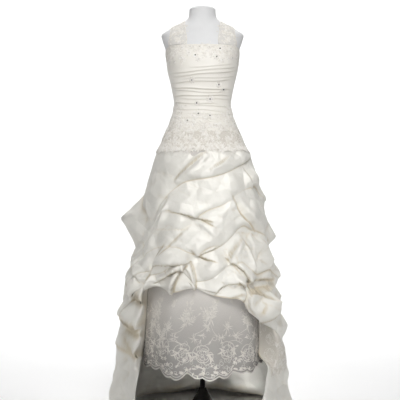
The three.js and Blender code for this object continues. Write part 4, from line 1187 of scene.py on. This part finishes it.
def dome(radius, height, sides=8):
    rings = [(1.0, -0.2), (0.85, 0.55), (0.5, 0.88), (0.02, 1.0)]
    turn = np.arange(sides) * 360 / sides
    points = [np.column_stack([polar(radius * share, turn), np.full(sides, height * rise)])
              for share, rise in rings]
    return np.concatenate(points), grid_faces(len(rings), sides, True)


def placed(shape, turn=0.0, u=0.0, v=0.0):
    points, faces = shape
    sine, cosine = math.sin(math.radians(turn)), math.cos(math.radians(turn))
    x, y, h = points.T
    return np.stack([x * cosine + y * sine + u, y * cosine - x * sine + v, h], -1), faces


def joined(shapes):
    starts = np.cumsum([0] + [len(points) for points, _ in shapes])
    faces = [part + start for (_, part), start in zip(shapes, starts)]
    return np.concatenate([points for points, _ in shapes]), np.concatenate(faces)


def flower(size, petals=6, ridge=1.2):
    one = petal(size / 2, size * 0.36, ridge)
    parts = [placed(one, 360 * i / petals) for i in range(petals)]
    return joined(parts + [dome(size * 0.11, ridge + 0.5)])


def sprig(size, pairs=3, ridge=1.0, bend=0.25):
    """A curved stem with pairs of leaves and a bud at its tip."""
    path = stem(size, bend, 8)
    parts = [cord(path, size * 0.05, ridge * 0.8)]
    for i in range(pairs):
        at = 0.25 + 0.6 * i / pairs
        long = size * (0.34 - 0.05 * i)
        leaf = petal(long, long * 0.42, ridge, 5)
        for side in (-1, 1):
            parts.append(placed(leaf, side * 52 + 25 * at, bend * size * at ** 2, size * at))
    parts.append(placed(petal(size * 0.3, size * 0.15, ridge, 5), 30 * bend, *path[-1]))
    return joined(parts)


def burst(size, rng, leaves=10):
    """Narrow leaves of uneven length all round a middle."""
    parts = []
    for i in range(leaves):
        long = size * rng.uniform(0.26, 0.54)
        leaf = petal(long, size * 0.075, 1.0, 5, rng.uniform(-0.3, 0.3))
        turn = 360 * i / leaves + rng.uniform(-16, 16)
        parts.append(placed(leaf, turn, *(size * rng.uniform(-0.09, 0.09, 2))))
    return joined(parts)


def outline(inner, outer, wide, thread, ridge):
    """A corded loop in the shape of one petal, its foot at the middle."""
    t = np.linspace(0, 1, 15)
    reach = inner + (outer - inner) * np.sin(np.pi * t) ** 0.7
    turn = -0.5 * np.cos(np.pi * t) - 0.25 * np.sin(2 * np.pi * t)
    return cord(polar(reach, wide * turn), thread, ridge)


def rose(size, rng, ridge=1.0):
    """An open rose: a coil in the middle and two uneven rounds of outlined petals."""
    thread = 0.045 * size
    parts = [cord(arc(0.13 * size, 520, 20, 0.8), thread, ridge)]
    for inner, outer, count in ((0.12, 0.33, 4), (0.24, 0.55, 6)):
        for i in range(count):
            reach = size * outer * rng.uniform(0.7, 1.2)
            petal_line = outline(size * inner, reach, rng.uniform(0.85, 1.4) * 360 / count, thread, ridge)
            parts.append(placed(petal_line, 360 * (i + rng.uniform(-0.3, 0.3)) / count))
    return joined(parts)


def swirl(size, ridge=0.9):
    return cord(arc(size / 2, 432, 16, 0.75), size * 0.09, ridge)


def ring(size, ridge=0.9):
    return cord(arc(size / 2, 372, 14), size * 0.16, ridge)


def small_motif(rng, size, ridge=1.1):
    """A small flower, spray, coil or leaf."""
    size = size * rng.uniform(0.8, 1.25)
    kind = rng.integers(0, 6)
    if kind < 2:
        return flower(size, 5, ridge)
    if kind == 2:
        return sprig(1.4 * size, 2, ridge)
    if kind == 3:
        return swirl(size, ridge)
    return petal(size, 0.42 * size, ridge, 6, rng.uniform(-0.3, 0.3))


BODY_STEPS = (0.2, 0.5)  # a small step of the angle and of the height
SCALE_STEPS = 8  # such steps over which a surface is measured


class Lace:
    """Shapes gathered on one surface, then made as one mesh."""

    def __init__(self, surface, lift, steps=BODY_STEPS):
        self.surface = surface
        self.steps = steps
        self.lift = lift
        self.shapes = []

    def add(self, shape, a, b, turn=0.0):
        self.shapes.append((*placed(shape, turn), a, b))

    def path(self, places, width, ridge, count):
        """A corded line through places on the surface."""
        line = spline(places, count)
        middle = line[len(line) // 2]
        flat = (line - middle) * np.ravel(self.scale(middle[:1], middle[1:]))
        self.shapes.append((*cord(flat, width, ridge), *middle))

    def scale(self, a, b):
        """Millimetres on the surface for a step of each of its coordinates."""
        da, db = (SCALE_STEPS * step for step in self.steps)
        wide = np.linalg.norm(self.surface(a + da, b) - self.surface(a - da, b), axis=-1) / (2 * da)
        tall = np.linalg.norm(self.surface(a, b + db) - self.surface(a, b - db), axis=-1) / (2 * db)
        return wide, tall

    def mesh(self):
        local, faces = joined([shape[:2] for shape in self.shapes])
        counts = [len(shape[0]) for shape in self.shapes]
        places = np.array([shape[2:] for shape in self.shapes], float).T
        a, b = (np.repeat(place, counts) + offset / np.repeat(scale, counts)
                for place, scale, offset in zip(places, self.scale(*places), local.T))
        return raised(self.surface, a, b, self.lift + local[:, 2:], self.steps), faces


# Lace of the bodice and the band

STONES = table("angle z size", [
    (-9, 1414, 26), (24, 1441, 22), (19, 1408, 30), (-16, 1321, 30), (27, 1305, 26), (12, 1250, 34),
    (-6, 1194, 26), (11, 1186, 28), (-24, 1167, 26), (38, 1288, 20), (-9, 1235, 22), (5, 1095, 28),
    (35, 1096, 28),
])
BODICE_FLOWERS = table("angle z size turn", [
    (-29, 1446, 26, 0), (-16, 1448, 24, 20), (-3, 1447, 24, 45), (8, 1446, 22, 10), (-30, 1404, 30, 15),
    (-18, 1424, 24, 30), (-5, 1398, 24, 5), (28, 1396, 28, 25), (36, 1430, 26, 0), (-43, 1430, 26, 12),
    (44, 1444, 24, 40), (-44, 1392, 22, 8), (48, 1408, 24, 33), (-60, 1236, 26, 0), (-46, 1200, 28, 20),
    (62, 1222, 26, 10), (54, 1196, 28, 35), (-36, 1160, 26, 5), (46, 1160, 26, 15), (20, 1150, 26, 40),
    (-12, 1152, 28, 25), (-62, 1160, 26, 30), (66, 1158, 26, 12), (2, 1142, 24, 0), (32, 1136, 28, 50),
    (-26, 1134, 26, 18), (-50, 1136, 26, 44), (52, 1132, 26, 28),
])
BODICE_SPRIGS = table("angle z size turn", [
    (-36, 1424, 36, 150), (-22, 1410, 34, 200), (14, 1430, 36, 80), (30, 1418, 34, 190), (42, 1424, 36, 20),
    (-10, 1436, 30, 100), (-52, 1180, 40, 20), (-40, 1178, 38, -20), (56, 1174, 40, -15), (44, 1180, 36, 25),
    (-16, 1166, 36, 40), (6, 1160, 38, -30), (22, 1168, 38, 10), (-30, 1148, 36, -40), (34, 1154, 36, 30),
    (-56, 1216, 34, 60), (64, 1200, 34, -60), (-66, 1180, 34, 0), (70, 1178, 34, 0),
])
LACE_LIFT = 0.6
BODY_ARC = 2.4  # millimetres of the body's surface for a degree, near enough
STONE_SPLIT = HIP_SEAM + 50  # stones above this are on the bodice, the others on the band
BODICE_LACE_HALF = (-84, 84)
NECK_LACE = {"low": 1385, "high": 1456, "gap": 8.5, "size": 15, "edge": 5}
WAIST_LACE = {"low": BAND_TOP - 6, "high": 1250, "gap": 15.0, "size": 26, "ridge": 2.0}
NECK_EDGE = {"down": 46, "wave": 12, "waves": 11, "shift": 30, "lower": 8, "sides": 40}
WAIST_EDGE = {"z": 1178, "climb": 46, "wave": 14, "waves": 13}
NECK_RINGS = {"end": 86, "every": 4.0, "size": 8.5, "down": 4.5}
BAND_LACE = {"low": BAND_BOTTOM + 16, "high": BAND_TOP + 6, "gap": 16.0, "size": 26, "ridge": 2.2}
BAND_EVERY = 5.0
BAND_LEAF_TURNS = (148, 182, 216)


def scattered(rng, angles, spread, tries=5000):
    """Uneven places round the body, none closer than a gap in millimetres."""
    kept = np.full((1, 2), 1e6)
    for place in zip(rng.uniform(*angles, tries), rng.uniform(spread["low"], spread["high"], tries)):
        away = np.hypot((kept[:, 0] - place[0]) * BODY_ARC, kept[:, 1] - place[1])
        if away.min() > spread["gap"]:
            kept = np.vstack([kept, place])
    return kept[1:]


def neck_edge(angle):
    """How low the neckline's lace reaches."""
    wave = NECK_EDGE["wave"] * math.sin(math.radians(NECK_EDGE["waves"] * angle + NECK_EDGE["shift"]))
    lower = NECK_EDGE["lower"] * (abs(angle) > NECK_EDGE["sides"])
    return bodice_top(abs(angle)) - NECK_EDGE["down"] - wave - lower


def waist_edge(angle):
    """How high the lace above the band climbs: higher at the sides."""
    wave = WAIST_EDGE["wave"] * math.sin(math.radians(WAIST_EDGE["waves"] * angle))
    return WAIST_EDGE["z"] + WAIST_EDGE["climb"] * (angle / RUCHE_REACH) ** 2 + wave


def bodice_lace(stones, pearls):
    rng = np.random.default_rng(17)
    lace = Lace(bodice_surface, LACE_LIFT)
    for angle, z, size in rows_of(STONES):
        if z > STONE_SPLIT:
            lace.add(flower(size, 7), angle, z, 20 * angle)
            for turn in rng.uniform(0, 360, 2):
                lace.add(swirl(0.6 * size), angle + rng.uniform(-6, 6), z + rng.uniform(-12, 12), turn)
            stones.append((bodice_surface, angle, z))
    for angle, z, size, turn in rows_of(BODICE_FLOWERS):
        lace.add(flower(size), angle, z, turn)
        pearls.append((bodice_surface, angle, z))
    for angle, z, size, turn in rows_of(BODICE_SPRIGS):
        lace.add(sprig(size), angle, z, turn)
    for angle, z in scattered(rng, BODICE_LACE_HALF, NECK_LACE):
        if neck_edge(angle) < z < bodice_top(abs(angle)) - NECK_LACE["edge"]:
            lace.add(small_motif(rng, NECK_LACE["size"]), angle, z, rng.uniform(0, 360))
    for angle, z in scattered(rng, BODICE_LACE_HALF, WAIST_LACE):
        if z < waist_edge(angle):
            lace.add(small_motif(rng, WAIST_LACE["size"], WAIST_LACE["ridge"]), angle, z, rng.uniform(0, 360))
    for angle in np.arange(-NECK_RINGS["end"], NECK_RINGS["end"] + 0.1, NECK_RINGS["every"]):
        lace.add(ring(NECK_RINGS["size"]), angle, bodice_top(abs(angle)) - NECK_RINGS["down"])
    return lace


def band_lace(stones, pearls):
    rng = np.random.default_rng(31)
    lace = Lace(band_surface, SATIN + BAND_GAP + LACE)
    for angle, z, size in rows_of(STONES):
        if z <= STONE_SPLIT:
            lace.add(flower(size, 7, 1.6), angle, z, 10)
            stones.append((band_surface, angle, z))
    for i, angle in enumerate(np.arange(-180, 180, BAND_EVERY)):
        at = angle + rng.uniform(-1.2, 1.2)
        low = BAND_BOTTOM + rng.uniform(2, 14)
        for turn in BAND_LEAF_TURNS:
            long = rng.uniform(19, 31)
            leaf = petal(long, 0.42 * long, 1.8, 6, rng.uniform(-0.2, 0.2))
            lace.add(leaf, at, low, turn + rng.uniform(-14, 14))
        if i % 2:
            lace.add(flower(rng.uniform(18, 26), 6, 1.6), at, low + 6, 23 * i)
            pearls.append((band_surface, at, low + 6))
        else:
            lace.add(sprig(rng.uniform(26, 36), 3, 1.3), at, low, rng.uniform(-30, 30))
    for angle, z in scattered(rng, (-180, 180), BAND_LACE):
        lace.add(small_motif(rng, BAND_LACE["size"], BAND_LACE["ridge"]), angle, z, rng.uniform(0, 360))
    return lace


# Embroidery of the underskirt and of the net on the lower right panel

ROSES = table("angle z size", [
    (-40, 312, 58), (-19, 292, 62), (0, 288, 66), (24, 302, 60), (47, 284, 64), (70, 296, 58), (92, 288, 62),
    (114, 300, 60), (136, 286, 64), (158, 298, 60), (-178, 288, 62), (-156, 300, 60), (-134, 286, 64),
    (-112, 298, 60), (-88, 290, 62), (-64, 302, 58),
])
ROSE_LEAVES = (70, 125, -75, -120, 165)  # turns of the leaves round a rose
ROSE_LEAF_STEP = 25  # a leaf starts a degree round the skirt for this much of its turn
SPRAYS = table("angle z size turn", [
    (-16, 398, 66, -10), (-14, 398, 50, 35), (6, 404, 76, 10), (7, 404, 56, -45), (48, 376, 74, -20),
    (46, 376, 56, 30), (23, 372, 44, 5), (-11, 462, 34, 0), (10, 470, 34, 20), (-45, 340, 66, -25),
    (-42, 340, 50, 20), (30, 468, 30, -10), (-30, 452, 32, 15), (-52, 436, 34, 0), (56, 462, 32, 5),
])
BURSTS = table("angle z size", [
    (-16, 404, 74), (-12, 446, 50), (7, 434, 80), (4, 392, 58), (11, 466, 44), (47, 400, 76), (43, 438, 46),
    (24, 384, 56), (-44, 342, 78), (-36, 374, 54), (-27, 350, 48), (-8, 346, 46), (17, 350, 46),
    (34, 352, 56), (-54, 318, 52), (56, 350, 50), (0, 360, 40), (-58, 392, 46), (60, 410, 44),
])
VINES = table("angle0 z0 angle1 z1 angle2 z2", [
    (-16, 400, -21, 374, -30, 361), (7, 406, 0, 378, -9, 360), (7, 404, 10, 372, 16, 348),
    (46, 378, 37, 360, 26, 352), (-30, 404, -35, 384, -42, 372), (-19, 324, -26, 336, -33, 344),
    (0, 320, 6, 334, 9, 350), (24, 334, 33, 336, 40, 322), (47, 316, 54, 336, 58, 358),
])
VINE = {"width": 2.4, "ridge": 0.8, "points": 14}
REPEATS = (0, 86.0, 158.0, 230.0, 302.0)  # turns round the skirt at which the front's sprays come
REPEATED = 34  # degrees each way of the front that come again
HEM_EVERY = 2.3  # degrees between the small motifs over the hem
HEM_ROWS = ((14, 30), (36, 62), (66, 150))  # ranges of their heights over it
HEM_DENSE = 70  # rings and flowers lie no higher than this
HEM_CORDS = ((1.6, 5, 2), (1.0, 3, 12))  # rise, width and height over the hem
HEM_CORD_POINTS = 720
TRAIN_LACE = table("angle z size turn", [
    (57, 322, 44, 0), (67, 292, 50, 40), (57, 268, 48, 80), (79, 272, 40, 20), (65, 236, 44, 10),
    (75, 222, 36, 60), (88, 286, 34, 30),
])
SIDE_NET = {
    "start": 53.0, "end": 94.0, "hem": 202.0, "lift": 56.0, "lifts": 68.0, "scallop": 12.0, "top": 4.0,
}
SIDE_NET_GRID = (76, 44)
SIDE_NET_GAP = 0.5
SIDE_MOTIFS = 26
SIDE_LACE_TOP = 10  # the motifs stay this far under the last tuck
SIDE_CORD = {"above": 2, "overlap": 0.2, "width": 4.0, "ridge": 1.2, "points": 5}


def underskirt_embroidery():
    rng = np.random.default_rng(21)
    burst_rng = np.random.default_rng(23)
    work = Lace(underskirt_point, NET + 0.1)
    for angle, z, size in rows_of(ROSES):
        work.add(rose(size, rng), angle, z, rng.uniform(0, 360))
        leaf = petal(size * 0.46, size * 0.12, 1.0, 6, 0.2)
        for turn in ROSE_LEAVES:
            work.add(leaf, angle + turn / ROSE_LEAF_STEP, z, turn)
    for further in REPEATS:
        reach = REPEATED if further else 180
        for angle, z, size, turn in rows_of(SPRAYS):
            if abs(angle) < reach:
                work.add(sprig(size, 4, 0.9), angle + further, z, turn)
        for angle, z, size in rows_of(BURSTS):
            if abs(angle) < reach:
                work.add(burst(size, burst_rng), angle + further, z)
        for a0, z0, a1, z1, a2, z2 in rows_of(VINES):
            if abs(a1) < reach:
                places = [(a0 + further, z0), (a1 + further, z1), (a2 + further, z2)]
                work.path(places, VINE["width"], VINE["ridge"], VINE["points"])
    for angle in np.arange(-180, 180, HEM_EVERY):
        low = hem_height(angle)
        for height in [rng.uniform(*span) for span in HEM_ROWS]:
            kind = rng.integers(0, 4)
            turn = rng.uniform(0, 360)
            place = angle + rng.uniform(-1.2, 1.2), low + height
            if kind == 0:
                work.add(swirl(rng.uniform(16, 26)), *place, turn)
            elif kind == 1:
                work.add(petal(rng.uniform(12, 20), rng.uniform(5, 8), 0.9), *place, turn)
            elif kind == 2 and height < HEM_DENSE:
                work.add(ring(rng.uniform(8, 13)), *place, turn)
            elif height < HEM_DENSE:
                work.add(flower(rng.uniform(14, 20), 5, 0.9), *place, turn)
    return work


def cord_lines(surface, lines, ridge, lift, steps=BODY_STEPS):
    """The two edges and the ridge of a cord on a surface, each a line of points."""
    rises = zip(lines, (RIM, ridge, RIM))
    return np.stack([raised(surface, *line, lift + rise, steps) for line, rise in rises])


def hem_cord(ridge, width, above):
    """A corded line that follows the underskirt's scallops."""
    angle = np.arange(HEM_CORD_POINTS) * 360 / HEM_CORD_POINTS
    z = hem_height(angle) + above
    points = cord_lines(underskirt_point, [(angle, z + side * width / 2) for side in (1, 0, -1)], ridge, NET)
    return points.reshape(-1, 3), grid_faces(3, HEM_CORD_POINTS, True)


def side_net_hem(angle):
    """Height of the scalloped edge of the net on the lower right panel."""
    scallop = SCALLOP * np.abs(np.sin(np.pi * angle / SIDE_NET["scallop"]))
    return SIDE_NET["hem"] + SIDE_NET["lift"] * smooth(angle, SIDE_NET["lifts"], SIDE_NET["end"]) - scallop


def train_surface(angle, z):
    top = tucks[-1](angle)
    fold = SWAG_ROWS + np.clip((top - z) / (top - FLOOR_CLEARANCE), -0.5, 1)
    return turn_in(overskirt_point(angle, fold), angle, fold, RIGHT_EDGE, 1)


def make_side_net():
    columns, rows = SIDE_NET_GRID
    angle = np.linspace(SIDE_NET["start"], SIDE_NET["end"], columns)[None]
    z = mix(tucks[-1](angle) - SIDE_NET["top"], side_net_hem(angle), np.linspace(0, 1, rows)[:, None])
    net = make_grid("side_net", raised(train_surface, angle, z, TAFFETA + SIDE_NET_GAP, BODY_STEPS))
    finish_cloth(net, NET, TRAIN_NET, "embroidered_net")


def train_lace():
    """Embroidery on the lower right panel, in line with the underskirt's."""
    rng = np.random.default_rng(51)
    work = Lace(train_surface, TAFFETA + 0.6 + NET)
    for angle, z, size, turn in rows_of(TRAIN_LACE):
        work.add(rose(size, rng), angle, z, turn)
    angles = np.linspace(SIDE_NET["start"] + 1, SIDE_NET["end"] - 1, SIDE_MOTIFS)
    for angle in angles:
        low = side_net_hem(angle)
        for size, share in ((15, 0.07), (19, rng.uniform(0.15, 0.35)), (19, rng.uniform(0.4, 0.9))):
            z = mix(low, tucks[-1](angle) - SIDE_LACE_TOP, share)
            work.add(small_motif(rng, size), angle, z, rng.uniform(0, 360))
    for start, end in zip(angles, angles[1:]):
        way = np.linspace(start - SIDE_CORD["overlap"], end + SIDE_CORD["overlap"], 4)
        places = [(angle, side_net_hem(angle) + SIDE_CORD["above"]) for angle in way]
        work.path(places, SIDE_CORD["width"], SIDE_CORD["ridge"], SIDE_CORD["points"])
    return work


# Lace of the straps

STRAP_FLOWERS = table("across along size turn", [
    (0.5, 0.06, 30, 0), (0.3, 0.16, 24, 20), (0.72, 0.17, 24, 50), (0.5, 0.28, 30, 15), (0.28, 0.38, 22, 40),
    (0.72, 0.40, 22, 10), (0.5, 0.5, 28, 30), (0.3, 0.6, 22, 5), (0.7, 0.62, 22, 25), (0.5, 0.74, 28, 0),
    (0.3, 0.85, 22, 35), (0.7, 0.86, 22, 15), (0.5, 0.95, 28, 45),
])
STRAP_COLUMNS = (0.14, 0.38, 0.62, 0.86)
STRAP_MOTIFS = {"start": 0.03, "end": 0.98, "every": 0.062, "size": 13}
STRAP_CORDS = (0.03, 0.97)
STRAP_CORD = {"half": 0.022, "ridge": 1.6, "points": 140}


def strap_cord(across):
    """A corded line along a strap's edge."""
    along = np.linspace(0.01, 0.99, STRAP_CORD["points"])
    lines = [(np.full(along.shape, across + side * STRAP_CORD["half"]), along) for side in (1, 0, -1)]
    points = cord_lines(strap_point, lines, STRAP_CORD["ridge"], STRAP_GAP + LACE, STRAP_STEPS)
    return points.swapaxes(0, 1).reshape(-1, 3), grid_faces(len(along), 3)[:, ::-1]


def strap_lace():
    lace = Lace(strap_point, STRAP_GAP + LACE, STRAP_STEPS)
    for across, along, size, turn in rows_of(STRAP_FLOWERS):
        lace.add(flower(size, 6, 1.0), across, along, turn)
        for side in (40, 220):
            lace.add(sprig(size, 2, 0.9), across, along, turn + side)
    rng = np.random.default_rng(41)
    for across in STRAP_COLUMNS:
        for along in np.arange(STRAP_MOTIFS["start"], STRAP_MOTIFS["end"], STRAP_MOTIFS["every"]):
            place = across + rng.uniform(-0.08, 0.08), along + rng.uniform(-0.015, 0.015)
            lace.add(small_motif(rng, STRAP_MOTIFS["size"]), *place, rng.uniform(0, 360))
    return lace


# Trimmings

BEAD = {"height": 2.6, "lift": 2.4, "sides": 10}
STONE_RADIUS = 2.7
PEARL_RADIUS = 2.2


def beads(name, places, radius, material):
    """Small domes, each on its own surface at its own place."""
    parts = []
    for surface in dict.fromkeys(place[0] for place in places):
        lace = Lace(surface, BEAD["lift"])
        for _, a, b in (place for place in places if place[0] is surface):
            lace.add(dome(radius, BEAD["height"], BEAD["sides"]), a, b)
        parts.append(lace.mesh())
    finish_piece(make(name, *joined(parts)), material, "ivory_lace")


def make_trimmings():
    stones = []
    pearls = []
    for name, lace in (("bodice_lace", bodice_lace), ("band_lace", band_lace)):
        finish_piece(make(name, *lace(stones, pearls).mesh()), IVORY_LACE, "ivory_lace")
    points, faces = joined([strap_lace().mesh(), *[strap_cord(across) for across in STRAP_CORDS]])
    for side, name in SIDES:
        lace = make(f"strap_{name}_lace", points * np.array([side, 1, 1]), faces[:, ::side])
        finish_piece(lace, IVORY_LACE, "ivory_lace")
    parts = [underskirt_embroidery().mesh(), *[hem_cord(*row) for row in HEM_CORDS]]
    finish_piece(make("underskirt_embroidery", *joined(parts)), THREAD, "embroidered_net")
    make_side_net()
    finish_piece(make("train_embroidery", *train_lace().mesh()), IVORY_LACE, "embroidered_net")
    beads("stones", stones, STONE_RADIUS, STONE)
    beads("pearls", pearls, PEARL_RADIUS, PEARL)


# Stage, in metres apart from the floor

CAMERA_DISTANCE = 3.5
CAMERA_HEIGHT = 0.861
SENSOR = 36.0
FRAME_WIDTH = 1.58  # metres of the picture at the pole
PICTURE_OFFSET = -0.0099  # the pole is a little right of the picture's middle
FLOOR = {"half": 8000.0, "front": -9000.0, "flat": 3500.0, "bend": 2500.0, "top": 9000.0, "steps": 40}
WORLD_LIGHT = 0.22
LIGHTS = [  # name, place, aim, size, watts and spread in degrees
    ("key", (0.35, -2.0, 2.9), (0.05, 0, 0.95), 0.9, 3.72, 54),
    ("left_fill", (-2.3, -2.6, 2.0), (-0.28, -0.1, 0.44), 0.5, 0.09, 9),
    ("right_fill", (1.9, -2.9, 1.7), (0.27, -0.1, 0.5), 0.5, 0.06, 9),
    ("front", (-0.5, -3.1, 1.5), (0.0, 0, 1.32), 0.6, 0.72, 26),
    ("low_fill", (0.2, -3.4, 0.6), (0.06, 0, 0.56), 0.5, 0.4, 17),
    ("under_fill", (-0.5, -2.5, 0.12), (0.22, 0.4, 0.12), 0.25, 0.15, 9),
    ("backdrop", (0, 3.0, 6.0), (0, 6.0, 1.5), 4.0, 350, 180),
]


def place_object(name, data, place, rotation):
    obj = bpy.data.objects.new(name, data)
    obj.location = place
    obj.rotation_euler = rotation
    bpy.context.scene.collection.objects.link(obj)
    return obj


def area_light(name, place, aim, size, power, spread):
    light = bpy.data.lights.new(name, "AREA")
    light.energy = power
    light.size = size
    light.spread = math.radians(spread)
    x, y, z = np.subtract(aim, place)
    pitch = math.atan2(z, math.hypot(x, y)) + math.pi / 2
    place_object(name, light, place, (pitch, 0, math.atan2(y, x) - math.pi / 2))


def make_floor():
    """A floor that bends up into a backdrop."""
    turn = np.linspace(0, np.pi / 2, FLOOR["steps"])
    y = FLOOR["flat"] + FLOOR["bend"] * np.sin(turn)
    z = FLOOR["bend"] * (1 - np.cos(turn))
    y = np.concatenate([[FLOOR["front"]], y, [FLOOR["flat"] + FLOOR["bend"]]])[:, None]
    z = np.concatenate([[0], z, [FLOOR["top"]]])[:, None]
    x = np.array([[-FLOOR["half"], FLOOR["half"]]])
    floor = make_grid("floor", np.stack(np.broadcast_arrays(x, y, z), -1))
    n = Nodes("pale_floor", 0.8, 0.2)
    n.colour(n.patches(1.5, 2.0, (0.93, 0.93, 0.93), (0.96, 0.96, 0.96)))
    floor.data.materials.append(n.material)


def make_stage():
    scene = bpy.context.scene
    camera = bpy.data.cameras.new("camera")
    camera.sensor_width = SENSOR
    camera.lens = SENSOR * CAMERA_DISTANCE / FRAME_WIDTH
    eye = (PICTURE_OFFSET, -CAMERA_DISTANCE, CAMERA_HEIGHT)
    scene.camera = place_object("camera", camera, eye, (math.pi / 2, 0, 0))
    make_floor()
    scene.world = bpy.data.worlds.new("studio")
    scene.world.use_nodes = True
    background = scene.world.node_tree.nodes["Background"]
    background.inputs["Color"].default_value = (1, 1, 1, 1)
    background.inputs["Strength"].default_value = WORLD_LIGHT
    scene.view_settings.view_transform = "Standard"
    for light in LIGHTS:
        area_light(*light)


make_stage()
make_form()
make_stand()
make_bodice()
make_overskirt()
make_underskirt()
make_straps()
make_band()
make_trimmings()
